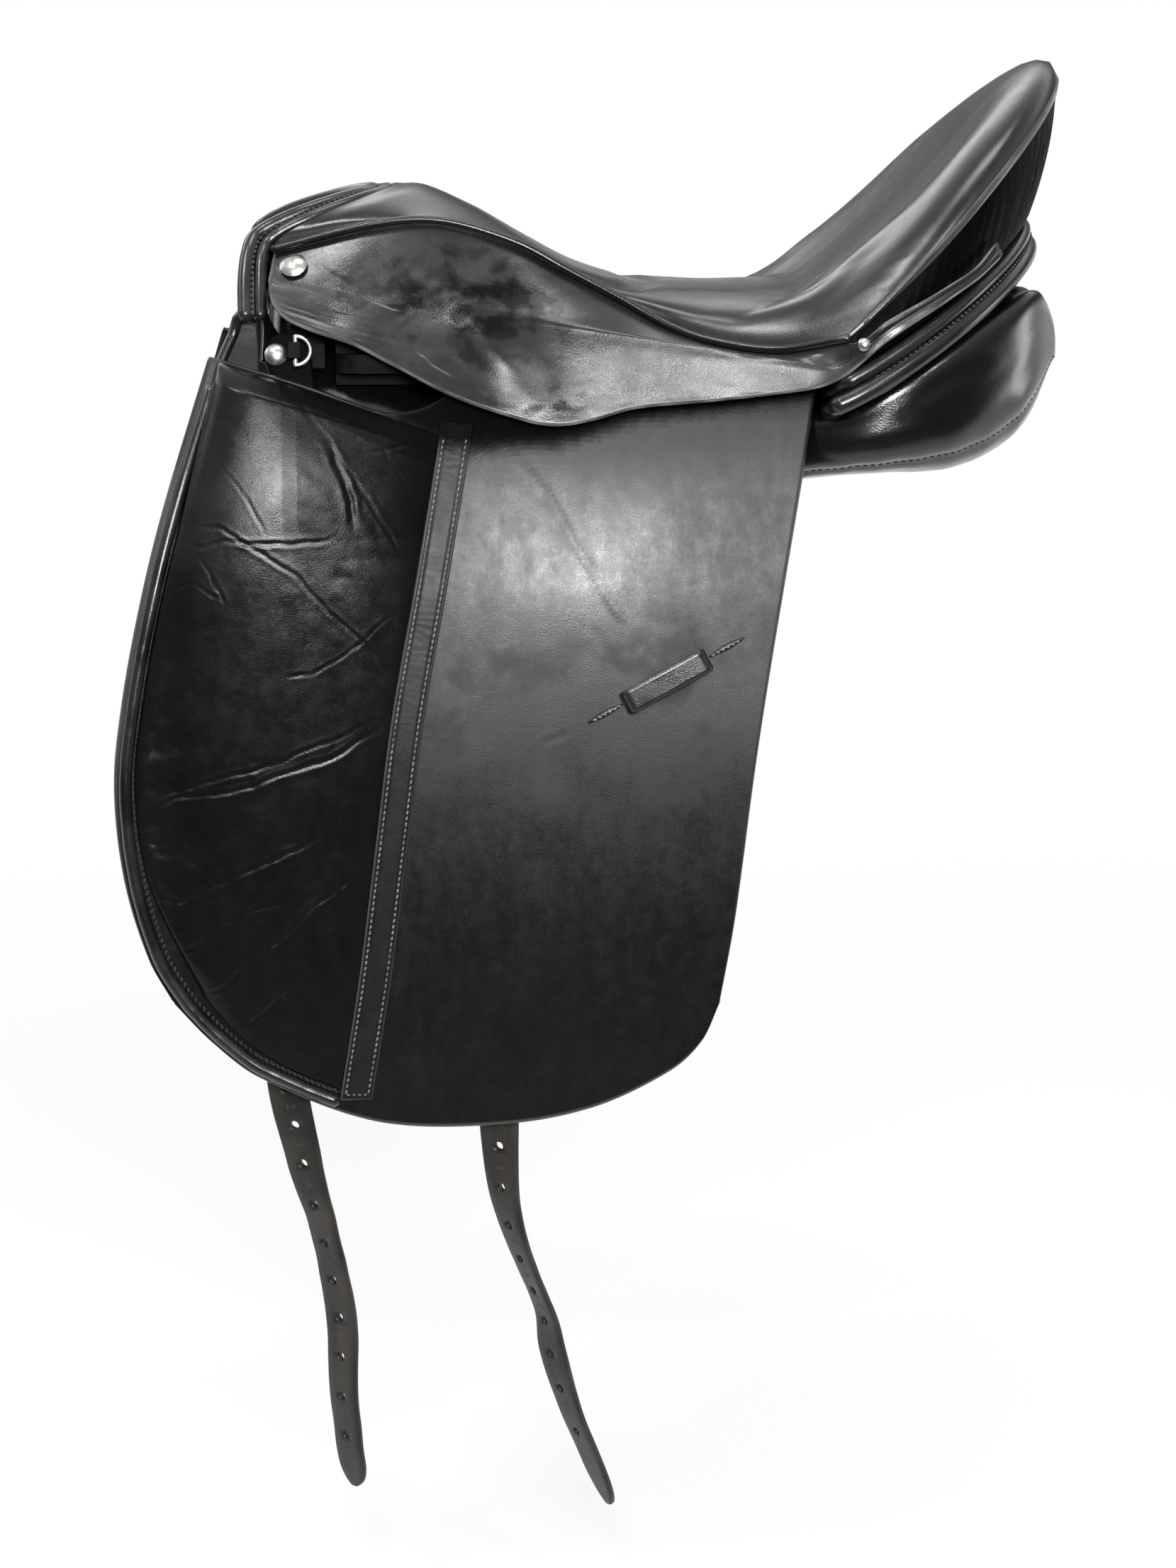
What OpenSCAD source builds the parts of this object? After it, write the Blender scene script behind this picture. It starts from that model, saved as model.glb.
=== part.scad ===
// A black leather dressage saddle, drawn as its separate pieces.
// +X runs to the cantle (the back of the saddle), -Y is the near (left) side, +Z is up.
// The origin lies on the centre plane, at mid length, at the level of the gullet between the panels.
// Lengths are millimetres, angles are degrees.
// The outlines are drawn as patterns for one size, and graded to the sizes below as a saddler does.

/* [Seat] */
// Length of the seat along its centre line, from the cut-back pommel to the cantle
seat_l = 370; // [350:1:390]
// Height of the lowest point of the seat
seat_low_z = 69; // [64:1:76]
// Height of the top of the pommel
pommel_z = 126; // [118:1:134]
// Height of the top of the cantle
cantle_z = 187; // [175:1:198]
// Half the width of the seat at the pommel
pommel_half = 66; // [62:1:70]
// Half the width of the seat at the waist
waist_half = 78; // [75:1:82]
// Half the width of the seat at its widest, by the cantle
cantle_half = 142; // [138:1:146]
// How far the padding stands above the line from the dish to the rim
rim_pad = 29; // [22:1:32]
// Thickness of the seat leather
cover_t = 3; // [2.5:0.1:3.5]
// Thickness of the tree
tree_t = 15; // [13:0.5:17]

/* [Flaps] */
// Height of the flap from its fold to its lower edge, on the near side
flap_drop = 400; // [385:1:415]
// Thickness of the flap leather
flap_t = 4.5; // [4:0.1:5]
// Free width between a flap and its sweat flap, where the girth straps hang
slot_w = 13; // [12.5:0.1:14]
// Thickness of a sweat flap
sweat_t = 3.5; // [3:0.1:4]
// How far a knee block stands out from its flap
block_h = 24; // [20:0.5:27]
// Width of the stitched strip behind a knee block
strip_w = 16.5; // [14:0.5:18]
// Clear height under a keeper loop
keeper_clear = 6.5; // [6:0.1:8]

/* [Skirts] */
// Thickness of the skirt leather
skirt_t = 3.5; // [3:0.1:4]

/* [Girth straps] */
// Width of a girth strap
billet_w = 22; // [20:0.5:24]
// Thickness of a girth strap
billet_t = 3.6; // [3.2:0.1:3.8]
// Diameter of a buckle hole in a girth strap
hole_d = 5.2; // [4.6:0.1:6]
// Distance between two buckle holes
hole_pitch = 24; // [22:0.5:26]

/* [Fittings] */
// Thickness of a stirrup bar
bar_t = 6; // [5:0.1:6.5]
// Diameter of the pin of a stirrup bar catch
pin_d = 3; // [2.6:0.1:3.4]
// Diameter of the wire of a saddle ring
ring_wire_d = 2.6; // [2.2:0.1:2.8]
// Diameter of a head of the studs that hold the rings
stud_d = 12; // [10:0.5:14]

/* [Hidden] */

// Sizes the patterns were drawn for
pattern_seat_l = 370;
pattern_drop = 400;
// Gap left between two pieces that lie on each other
seat_gap = 0.25;
// Rows and columns of the seat's grid
NU = 20;
NV = 16;
web_t = 1.5;

// Grading: a pattern's length along the saddle, and a pattern's height below the fold of the flap
fold_z = 30;
function gx(x) = x * seat_l / pattern_seat_l;
function gz(z) = z > fold_z ? z : fold_z + (z - fold_z) * flap_drop / pattern_drop;
function lerp(a, b, t) = a + (b - a) * t;
function unit(v) = v / norm(v);

// Smooth curve through points whose first value is the place along the curve
function seg(p, x, i = 0) = (i >= len(p) - 2 || x < p[i + 1][0]) ? i : seg(p, x, i + 1);
function slope(p, i) =
  let (a = max(i - 1, 0), b = min(i + 1, len(p) - 1))
  (p[b] - p[a]) / (p[b][0] - p[a][0]);
function curve(p, x) =
  let (i = seg(p, x), h = p[i + 1][0] - p[i][0], t = (x - p[i][0]) / h, q = t * t, c = q * t)
  p[i] * (2 * c - 3 * q + 1) + slope(p, i) * h * (c - 2 * q + t)
  + p[i + 1] * (3 * q - 2 * c) + slope(p, i + 1) * h * (c - q);
function on_curve(p, x) = let (v = curve(p, x)) [for (k = [1:len(v) - 1]) v[k]];

// Surface spanned by four edge curves of [place, x, z]
function patch(low, high, front, rear, s, t) =
  lerp(on_curve(low, s), on_curve(high, s), t) + lerp(on_curve(front, t), on_curve(rear, t), s)
  - lerp(lerp(on_curve(front, 0), on_curve(rear, 0), s), lerp(on_curve(front, 1), on_curve(rear, 1), s), t);

// Solid between an upper and a lower grid of points, over the cells that are kept
module grid_solid(upper, lower, kept = function (i, j) true) {
  m = len(upper) - 1;
  n = len(upper[0]) - 1;
  half = (m + 1) * (n + 1);
  at = function (i, j) i * (n + 1) + j;
  use = function (i, j) i >= 0 && j >= 0 && i < m && j < n && kept(i, j);
  points = concat([for (r = upper) for (q = r) q], [for (r = lower) for (q = r) q]);
  sides = [[0, 0, 0, 1, -1, 0], [0, 1, 1, 1, 0, 1], [1, 1, 1, 0, 1, 0], [1, 0, 0, 0, 0, -1]];
  faces = [
    for (i = [0:m - 1]) for (j = [0:n - 1]) if (use(i, j))
      let (a = at(i, j), b = at(i + 1, j), c = at(i + 1, j + 1), d = at(i, j + 1))
      each [[a, d, c], [a, c, b], [a + half, c + half, d + half], [a + half, b + half, c + half]],
    for (i = [0:m - 1]) for (j = [0:n - 1]) if (use(i, j))
      for (e = sides) if (!use(i + e[4], j + e[5]))
        let (p = at(i + e[0], j + e[1]), q = at(i + e[2], j + e[3]))
        each [[q, p, p + half], [q, p + half, q + half]]
  ];
  polyhedron(points, faces, convexity = 8);
}

// Solid through closed rings of points, with its two ends closed
module ring_solid(rings) {
  n = len(rings[0]);
  m = len(rings);
  at = function (i, j) j * n + i % n;
  points = [for (r = rings) for (q = r) q];
  faces = [
    for (j = [0:m - 2]) for (i = [0:n - 1])
      each [[at(i, j), at(i, j + 1), at(i + 1, j + 1)], [at(i, j), at(i + 1, j + 1), at(i + 1, j)]],
    for (i = [1:n - 2]) [0, i, i + 1],
    for (i = [1:n - 2]) [at(0, m - 1), at(i + 1, m - 1), at(i, m - 1)]
  ];
  polyhedron(points, faces, convexity = 8);
}

// Round cord along a line of points
module cord(path, r, sides = 8, ref = [0, 0, 1]) {
  last = len(path) - 1;
  ring_solid([
    for (k = [0:last])
      let (
        t = unit(path[min(k + 1, last)] - path[max(k - 1, 0)]),
        a = unit(cross(ref, t)),
        b = cross(t, a)
      )
      [for (i = [0:sides - 1]) path[k] + r * (cos(360 * i / sides) * a + sin(360 * i / sides) * b)]
  ]);
}

// Flat strap along stations of [centre, direction of its width, direction of its thickness, half width]
module strap(stations, t) {
  ring_solid([
    for (s = stations)
      [
        s[0] - s[1] * s[3] - s[2] * t / 2, s[0] + s[1] * s[3] - s[2] * t / 2,
        s[0] + s[1] * s[3] + s[2] * t / 2, s[0] - s[1] * s[3] + s[2] * t / 2
      ]
  ]);
}

// The seat: each row runs from the centre line out to the welt along a quarter of an ellipse
front_rise = pommel_z - seat_low_z;
rear_rise = cantle_z - seat_low_z;
function fz(k) = seat_low_z + k * front_rise;
function rz(k) = seat_low_z + k * rear_rise;
centre_line = [
  [0, gx(-100), fz(1)], [0.1, gx(-84), fz(0.97)], [0.25, gx(-58), fz(0.75)], [0.4, gx(-28), fz(0.45)],
  [0.52, gx(2), fz(0.18)], [0.62, gx(32), fz(0.03)], [0.7, gx(60), fz(0)], [0.78, gx(100), rz(0)],
  [0.85, gx(145), rz(0.05)], [0.92, gx(200), rz(0.33)], [0.97, gx(245), rz(0.76)], [1, gx(270), rz(1)]
];
waist = waist_half - 78;
edge_line = [
  [0, gx(-169), pommel_half, fz(0.44)], [0.2, gx(-113), pommel_half + 6, fz(0.68)],
  [0.32, gx(-78), 75 + waist, fz(0.71)], [0.45, gx(-38), waist_half, fz(0.51)],
  [0.55, gx(-10), 82 + waist, fz(0.25)], [0.65, gx(17), 90 + waist, fz(0)],
  [0.75, gx(44), cantle_half - 42, fz(-0.26)], [0.83, gx(67), cantle_half - 31, fz(-0.39)],
  [0.92, gx(100), cantle_half - 16, fz(-0.45)], [1, gx(135), cantle_half, fz(-0.33)]
];
roundness = [[0, 0.5], [0.3, 0.5], [0.6, 0.45], [0.8, 0.5], [0.9, 0.9], [1, 1.25]];
foam_depth = [[0, 8], [0.2, 11], [0.6, 20], [0.8, 24], [0.92, 26], [1, 14]];
// The stuffing behind the rider, a roll inside the rim that dies away to the sides
roll_u = 0.17;
function pad(u, a) =
  u <= 1 - roll_u ? 0 : rim_pad * sin(180 * pow((1 - u) / roll_u, 0.6)) * pow(max(cos(a), 0), 0.9);
function seat_at(u, a) =
  let (c = on_curve(centre_line, u), e = on_curve(edge_line, u), k = cos(a))
  [
    lerp(e[0], c[0], k), e[1] * sin(a),
    lerp(e[2], c[1], pow(max(k, 0), on_curve(roundness, u)[0])) + pad(u, a) * min(1, 3 * k)
  ];
foam_edge = 3;
function foam_t(u, a) =
  foam_edge + (on_curve(foam_depth, u)[0] - foam_edge) * pow(max(cos(a), 0), 0.8) + 0.85 * pad(u, a);
function row_u(i) = let (t = i / NU) t * (1.5 - 0.5 * t);
function col_a(j) = -90 + 180 * j / NV;
// Depth below the seat's surface of each layer's upper face
cover_low = function (u, a) cover_t;
foam_low = function (u, a) cover_t + seat_gap + foam_t(u, a);
web_low = function (u, a) foam_low(u, a) + seat_gap + web_t;
tree_top = function (u, a) web_low(u, a) + seat_gap;
tree_low = function (u, a) tree_top(u, a) + tree_t;
function layer(depth) = [
  for (i = [0:NU]) [for (j = [0:NV]) let (u = row_u(i), a = col_a(j)) seat_at(u, a) - [0, 0, depth(u, a)]]
];

// Half the breadth of the saddle at the outer face of a flap, by height
breadth_pattern = [
  [-390, 168], [-335, 167], [-263, 165], [-217, 163], [-170, 160], [-125, 155], [-80, 148], [-29, 135],
  [15, 118], [48, 105]
];
function breadth(z) = on_curve(breadth_pattern, z)[0];
function on_flap(p, out = 0) = [gx(p[0]), -(breadth(gz(p[1])) + out), gz(p[1])];

// The fold a flap lifts on, a straight line along its outer face
fold_front = [-205, 42];
fold_rear = [123, 18];
function fold_at(x) =
  lerp(fold_front[1], fold_rear[1], (x - fold_front[0]) / (fold_rear[0] - fold_front[0]));

// Flap outline, as four edges in pattern lengths
flap_low = [
  [0, -228, -303], [0.1, -208, -325], [0.2, -183, -345], [0.42, -120, -371], [0.6, -59, -374.5],
  [0.78, -3, -366], [0.9, 40, -346], [0.96, 58, -329], [1, 67, -309]
];
flap_front = [
  [0, -228, -303], [0.06, -240, -280], [0.18, -252, -236], [0.32, -256, -187], [0.48, -251, -142],
  [0.64, -241, -92], [0.8, -228, -42], [1, -203, 37]
];
flap_rear = [[0, 67, -309], [0.14, 75, -263], [0.4, 87, -170], [0.7, 102, -80], [1, 121, fold_at(121) - 0.4]];
flap_high = [
  [0, -203, 37], [0.16, -150, 21], [0.27, -112, 6], [0.34, -90, 5], [0.42, -68, fold_at(-68) - 2],
  [0.45, -60, fold_at(-60) - 0.6], [0.7, 20, fold_at(20) - 0.4], [1, 121, fold_at(121) - 0.4]
];
function flap_p(s, t) = patch(flap_low, flap_high, flap_front, flap_rear, s, t);

// Line along the front of the stitched strip, and the knee block's other edges
strip_line = [
  [0, -140, -364], [0.08, -136, -340], [0.2, -128, -292], [0.36, -119, -226], [0.55, -109, -153],
  [0.76, -95, -79], [1, -82, -8]
];
block_rear = [
  [0, -139, -352], [0.18, -128.8, -292], [0.36, -119.8, -226], [0.55, -109.8, -153],
  [0.76, -95.8, -79], [1, -82.8, -8]
];
block_front = [
  [0, -212, -298], [0.18, -239, -236], [0.32, -245, -187], [0.48, -240, -142], [0.64, -230, -92],
  [0.8, -217, -42], [1, -195, 32]
];
block_low = [[0, -212, -298], [0.3, -192, -321], [0.62, -168, -338.5], [1, -139, -352]];
block_high = [[0, -195, 32], [0.4, -158, 20], [0.7, -122, 6], [1, -82.8, -8]];
function block_p(s, t) = patch(block_low, block_high, block_front, block_rear, s, t);
block_edge = 2;
function block_out(s, t) =
  block_edge + (block_h - block_edge)
  * pow(sin(180 * pow(s, 0.62)), 0.55) * pow(sin(180 * pow(t, 1.15)), 0.35) * (0.55 + 0.45 * t);

// Skirt lines on the near side: the welt, the fold and the lower edge, in pattern lengths
welt_line = [
  for (u = [0:0.05:1]) let (e = on_curve(edge_line, u)) [e[0], e[1] + 0.6, e[2] - cover_t - 1.6]
];
skirt_fold_front = [gx(-160), 82.5, 76];
skirt_fold_rear = [gx(140), 146, 32];
function skirt_fold(x) = lerp(skirt_fold_front, skirt_fold_rear, (x - gx(-160)) / gx(300));
skirt_edge = [
  [-172, 94, 62], [-148, 102, 52], [-126, 108.5, 45], [-105, 114.5, 34], [-73, 123.5, 17], [-35, 129, 5],
  [-17, 130.5, 3], [1, 131, 6], [23, 132, 12], [62, 137, 16], [97, 141, 20], [122, 146, 24], [134, 149, 28]
];
function welt_at(x) = let (v = on_curve(welt_line, x)) [x, v[0], v[1]];
function edge_at(x) = let (v = on_curve(skirt_edge, x)) [gx(x), v[0], v[1]];
function near(p) = [p[0], -p[1], p[2]];
// Direction square to the line from p down to q, away from the saddle, in the cross plane
function out_of(p, q) = let (d = q - p) unit([0, -d[2], d[1]]);
// The two parts of a skirt meet at a mitre along the fold
function fold_out(x) =
  let (k = min(max(x, gx(-168)), gx(131)), f = skirt_fold(k))
  unit(out_of(welt_at(k), f) + out_of(f, edge_at(k * pattern_seat_l / seat_l)));

// Cantle: the back of the saddle from the rim down to the rolls
cantle_base = [gx(130), 146, 28];
cantle_base_top = [gx(254), 0, 107];
function base_at(a, out = 0) =
  let (k = cos(a), r = [k, sin(a), 0])
  [lerp(cantle_base[0], cantle_base_top[0], k), cantle_base[1] * sin(a), lerp(28, 107, pow(max(k, 0), 1.15))]
  + out * unit(r);

module tree_frame() {
  color("#8a6a43") grid_solid(
    layer(tree_top), layer(tree_low),
    function (i, j) i > 0 && i < NU - 1 && j > 1 && j < NV - 2 && (i < 3 || i > 12 || j < 5 || j > 10)
  );
}

module head_plate() {
  half_w = 10;
  path = [
    [0, -152, -91.9, 30], [0.14, -151, -84.9, 48], [0.28, -142, -68, 72], [0.4, -108, -44, 86.5],
    [0.5, -90, 0, 90.5],
    [0.6, -108, 44, 86.5], [0.72, -142, 68, 72], [0.86, -151, 84.9, 48], [1, -152, 91.9, 30]
  ];
  stations = [
    for (k = [0:20])
      let (
        p = on_curve(path, k / 20), q = on_curve(path, k / 20 + 0.01),
        d = unit([0, q[1] - p[1], q[2] - p[2]])
      )
      [[gx(p[0]), p[1], p[2]], [1, 0, 0], [0, -d[2], d[1]], half_w]
  ];
  color("#77797c") strap(stations, 3.5);
}

// Side of the tree below its rail, where the stirrup bar is riveted on
module tree_side_left() {
  function grid(lines) = [
    for (i = [0:4]) let (k = i / 4, x = lerp(gx(-118.6), side_rear, k))
      [for (q = lines) [x, -q[0], q[1] - q[2] * k]]
  ];
  color("#8a6a43") grid_solid(
    grid([[87.7, 27, 0], [87.7, 56, 4], [69, 84, 12]]), grid([[79, 31, 0], [78, 52, 4], [61, 80, 12]])
  );
}
module tree_side_right() { mirror([0, 1, 0]) tree_side_left(); }

module spring(first) {
  color("#6f7275") grid_solid(
    layer(function (u, a) tree_low(u, a) + seat_gap), layer(function (u, a) tree_low(u, a) + seat_gap + 2),
    function (i, j) i > 2 && i < 14 && j == first
  );
}
module spring_left() { spring(3); }
module spring_right() { spring(12); }

module seat_webbing() {
  color("#b9a57d") grid_solid(
    layer(function (u, a) foam_low(u, a) + seat_gap), layer(web_low),
    function (i, j) i > 1 && i < 16 && j > 4 && j < 11
  );
}

module seat_foam() {
  color("#cfc9b6") grid_solid(
    layer(function (u, a) cover_t + seat_gap), layer(foam_low),
    function (i, j) i > 0 && i < NU - 1 && j > 1 && j < NV - 2
  );
}

module seat_cover() {
  color("#1d1d1f") grid_solid(layer(function (u, a) 0), layer(cover_low));
}

module seat_welt_left() {
  path = [for (k = [0:26]) let (e = on_curve(edge_line, k / 26)) [e[0], -e[1] - 2.7, e[2] - 1.6]];
  color("#242426") cord(path, 2.3, 6);
}
module seat_welt_right() { mirror([0, 1, 0]) seat_welt_left(); }

pommel_half_path = [
  [0, -104, 0, 122], [0.14, -107.7, 21.5, 121.8], [0.3, -122.5, 43, 118], [0.46, -146, 58, 110],
  [0.57, -163, 61.7, 102.5], [0.66, -172.5, 63.5, 95.5], [0.74, -175.5, 70, 88], [0.86, -176.3, 79, 75],
  [1, -176.3, 89, 58]
];
// The roll of the panel lies in front of the roll of the pommel by this much
roll_lead = [
  [0, -8, 0, -1.5], [0.3, -6.5, -4.5, 1], [0.46, -5, -6, 2.5], [0.58, -5.5, -5, 3], [0.7, -6.5, -3, 3.5],
  [0.85, -8, -1, 1], [1, -8, 0, 0]
];
panel_roll_half_path = [
  for (t = [0:0.05:1])
    let (p = on_curve(pommel_half_path, t) + on_curve(roll_lead, t)) [t, p[0], p[1], p[2]]
];
function both_sides(p, n) = [
  for (k = [-n:n]) let (q = on_curve(p, abs(k) / n)) [gx(q[0]), sign(k) * q[1], q[2]]
];

module pommel_roll() {
  color("#202022") cord(both_sides(pommel_half_path, 14), 3.5, 8, [1, 0, 0.4]);
}

module panel_front_roll() {
  color("#1b1b1d") cord(both_sides(panel_roll_half_path, 14), 4.2, 8, [1, 0, 0.4]);
}

// Leather over the front of the arch, from the rolls down to the panels
arch_high = [
  [0, -107, 0, 115], [0.14, -110.5, 20, 114.5], [0.3, -124, 36.5, 111.5], [0.46, -146, 50, 104.5],
  [0.57, -163, 54.5, 98.5], [0.66, -171.5, 57, 92], [0.74, -175.5, 62.5, 85.5], [0.86, -176, 71.5, 72.5],
  [1, -176, 81.5, 55.5]
];
arch_low = [
  [0, -109.5, 0, 87.5], [0.14, -110.5, 17, 87], [0.3, -113.5, 31.5, 84.5], [0.46, -130, 36, 78.5],
  [0.57, -150, 40, 75.5], [0.66, -164, 45, 71], [0.74, -173, 51, 63], [0.86, -174, 62.5, 50.5],
  [1, -174, 74, 40]
];
module arch_lining() {
  sheet = 2;
  high = both_sides(arch_high, 14);
  low = both_sides(arch_low, 14);
  front = [for (i = [0:28]) [for (t = [0:0.25:1]) lerp(low[i], high[i], t)]];
  back = [for (r = front) [for (q = r) q + sheet * unit([1, q[1] / 60, 0.2])]];
  color("#202022") grid_solid(front, back);
}

module cantle_cover() {
  drop = [0.03, 0.25, 0.5, 0.75, 0.96];
  outer = [
    for (j = [0:24])
      let (a = 80 - 160 * j / 24, top = seat_at(1, a) - [0, 0, cover_t + 0.3], low = base_at(a))
      [for (d = drop) lerp(low, top, 1 - d) + unit([cos(a), sin(a), 0]) * 3 * sin(180 * d)]
  ];
  inner = [
    for (j = [0:24])
      let (a = 80 - 160 * j / 24, top = seat_at(1, a) - [0, 0, cover_t + 0.3], low = base_at(a))
      [for (d = drop) lerp(low, top, 1 - d) + unit([cos(a), sin(a), 0]) * (3 * sin(180 * d) - 3)]
  ];
  color("#141416") grid_solid(outer, inner);
}

module cantle_roll_upper() {
  color("#202022") cord([for (k = [-15:15]) base_at(5.85 * k, -1) - [0, 0, 4.6]], 4.1, 8);
}

module cantle_roll_lower() {
  color("#1a1a1c") cord([for (k = [-15:15]) base_at(6.1 * k, 1.5) - [0, 0, 14.4]], 5.2, 8);
}

// Panel sections: place along x, inner and outer half breadth, inner top, outer top, lowest height
panel_pattern = [
  [-170, 42, 76, 62, 34, 16], [-158, 37, 84, 72, 26, -4], [-120, 34, 98, 74, 14, -24],
  [-70, 34, 107, 60, 6, -36], [0, 34, 107.8, 32, 4, -43], [60, 34, 107.8, 20, 4, -41],
  [100, 34, 109, 19.5, 5, -36], [135, 34, 128, 22, 10, -30], [165, 34, 133, 32, 26, -29],
  [200, 34, 124, 50, 46, -27], [230, 34, 104, 63, 61, -17], [250, 35, 84, 69, 70, -1],
  [264, 38, 62, 62, 64, 25]
];
module panel_left() {
  rings = [
    for (k = [0:24])
      let (
        x = lerp(-170, 264, k / 24), p = on_curve(panel_pattern, x), w = p[1] - p[0], top = p[3], low = p[4],
        side = lerp(top, low, 0.7)
      )
      [
        for (q = [
          [p[0], p[2]], [p[0], lerp(p[2], low + 20, 0.5)], [p[0] + w * 0.06, low + 16],
          [p[0] + w * 0.24, low + 4], [p[0] + w * 0.5, low], [p[0] + w * 0.78, lerp(low, side, 0.18)],
          [p[1] - w * 0.02, side], [p[1], lerp(top, side, 0.45)], [p[1] - w * 0.07, top],
          [p[0] + w * 0.5, lerp(p[2], top, 0.55)]
        ]) [gx(x), -q[0], q[1]]
      ]
  ];
  color("#232325") ring_solid(rings);
}
module panel_right() { mirror([0, 1, 0]) panel_left(); }

lining_z = [
  [-112, 84], [-70, 66], [-30, 45], [10, 30], [60, 20.5], [110, 19.5], [150, 25.5], [190, 46],
  [225, 64], [246, 74]
];
module gullet_lining() {
  function grid(d) = [
    for (k = [0:18]) let (x = lerp(-108, 240, k / 18), z = on_curve(lining_z, x)[0])
      [for (y = [-33.7, -18, 0, 18, 33.7]) [gx(x), y, z + 3 - 3 * pow(y / 33.7, 2) - d]]
  ];
  color("#191919") grid_solid(grid(0), grid(2));
}

// Sweat flaps hang inside the flaps, a little smaller
sweat_low = [[0, -212, -280], [0.25, -166, -318], [0.5, -100, -338], [0.75, -20, -334], [1, 46, -286]];
sweat_front = [
  [0, -212, -280], [0.3, -238, -190], [0.6, -229, -90], [0.82, -213, -14], [0.93, -203, 26], [1, -190.5, 54]
];
sweat_rear = [[0, 46, -286], [0.35, 66, -190], [0.7, 84, -90], [1, 96, -14]];
sweat_high = [
  [0, -190.5, 54], [0.06, -179.5, 53], [0.08, -178, 49], [0.1, -177, 12], [0.12, -172, 4], [0.3, -120, -6],
  [0.6, -20, -14], [1, 96, -14]
];
// It reaches up to the rolls in front of the tree's point
sweat_places = [0, 0.03, 0.06, 0.08, 0.1, 0.12, 0.2, 0.3, 0.4, 0.5, 0.6, 0.7, 0.8, 0.9, 1];
sweat_in = flap_t + slot_w;
module sweat_flap_left() {
  function grid(d) = [
    for (s = sweat_places) [
      for (j = [0:11]) on_flap(patch(sweat_low, sweat_high, sweat_front, sweat_rear, s, j / 11), -d)
    ]
  ];
  color("#2a2725") grid_solid(grid(sweat_in), grid(sweat_in + sweat_t));
}
module sweat_flap_right() { mirror([0, 1, 0]) sweat_flap_left(); }

// Tail of the skirt, its upper and lower edge
tail_high = [
  [0, 137, 145, 45], [0.2, 155, 149, 57], [0.55, 187, 140, 74], [0.8, 207, 127, 85], [1, 219, 117, 97]
];
tail_low = [
  [0, 137, 148.5, 37], [0.3, 165, 149.5, 57], [0.55, 187, 143, 69], [0.8, 207, 130, 80], [1, 222, 118, 91]
];
module skirt_margin_left() {
  fold_down = 0.5;
  lower = concat(
    [for (k = [0:17]) skirt_fold(lerp(gx(-171), gx(131), k / 17)) + [0, 0, fold_down]],
    [for (k = [0:6]) let (q = on_curve(tail_low, k / 6)) [gx(q[0]), q[1], q[2]]]
  );
  upper = concat(
    [for (k = [0:17]) welt_at(lerp(gx(-168.5), gx(131), k / 17))],
    [for (k = [0:6]) let (q = on_curve(tail_high, k / 6)) [gx(q[0]), q[1], q[2]]]
  );
  outer = [for (i = [0:24]) [for (t = [0, 0.5, 1]) lerp(lower[i], upper[i], t)]];
  inner = [
    for (i = [0:24])
      let (n = out_of(upper[i], lower[i]), m = i < 18 ? fold_out(lower[i][0]) : n)
      [for (k = [0:2]) outer[i][k] - unit(lerp(m, n, k / 2)) * skirt_t]
  ];
  color("#27272a") grid_solid(
    [for (r = outer) [for (q = r) near(q)]], [for (r = inner) [for (q = r) near(q)]]
  );
}
module skirt_margin_right() { mirror([0, 1, 0]) skirt_margin_left(); }

module skirt_left() {
  low = [for (k = [0:18]) edge_at(lerp(-172, 133, k / 18))];
  high = [for (k = [0:18]) skirt_fold(lerp(gx(-171.5), gx(132), k / 18)) - [0, 0, 0.5]];
  rows = [
    for (i = [0:18]) let (n = out_of(high[i], low[i]), m = fold_out(high[i][0]))
      [for (t = [0, 0.33, 0.67, 1]) [lerp(low[i], high[i], t), t < 1 ? n : m]]
  ];
  outer = [for (r = rows) [for (q = r) near(q[0])]];
  inner = [for (r = rows) [for (q = r) near(q[0] - q[1] * skirt_t)]];
  color("#2b2b2e") grid_solid(outer, inner);
}
module skirt_right() { mirror([0, 1, 0]) skirt_left(); }

module flap_margin_left() {
  function grid(d) = [
    for (i = [0:8]) let (x = lerp(-55, 60, i / 8))
      [
        for (t = [0, 0.5, 1]) let (z = lerp(fold_at(x) + 0.4, fold_at(x) + 17, t))
          [gx(x), -(breadth(z) - d), z]
      ]
  ];
  color("#1f1f21") grid_solid(grid(0), grid(flap_t));
}
module flap_margin_right() { mirror([0, 1, 0]) flap_margin_left(); }

module flap_left() {
  function grid(d) = [for (i = [0:13]) [for (j = [0:13]) on_flap(flap_p(i / 13, j / 13), -d)]];
  color("#1c1c1e") grid_solid(grid(0), grid(flap_t));
}
module flap_right() { mirror([0, 1, 0]) flap_left(); }

module knee_block_left() {
  outer = [for (i = [0:10]) [
    for (j = [0:14])
      on_flap(block_p(i / 10, j / 14), block_out(lerp(0.02, 0.985, i / 10), lerp(0.03, 0.97, j / 14)))
  ]];
  inner = [for (i = [0:10]) [for (j = [0:14]) on_flap(block_p(i / 10, j / 14), 0.6)]];
  color("#29292b") grid_solid(outer, inner);
}
module knee_block_right() { mirror([0, 1, 0]) knee_block_left(); }

module flap_strip_left() {
  function grid(d) = [
    for (w = [0, 0.5, 1]) [
      for (j = [0:16]) let (q = on_curve(strip_line, lerp(0.02, 1, j / 16)))
        on_flap([q[0] + w * strip_w, q[1]], d)
    ]
  ];
  color("#303032") grid_solid(grid(2.6), grid(0.6));
}
module flap_strip_right() { mirror([0, 1, 0]) flap_strip_left(); }

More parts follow.
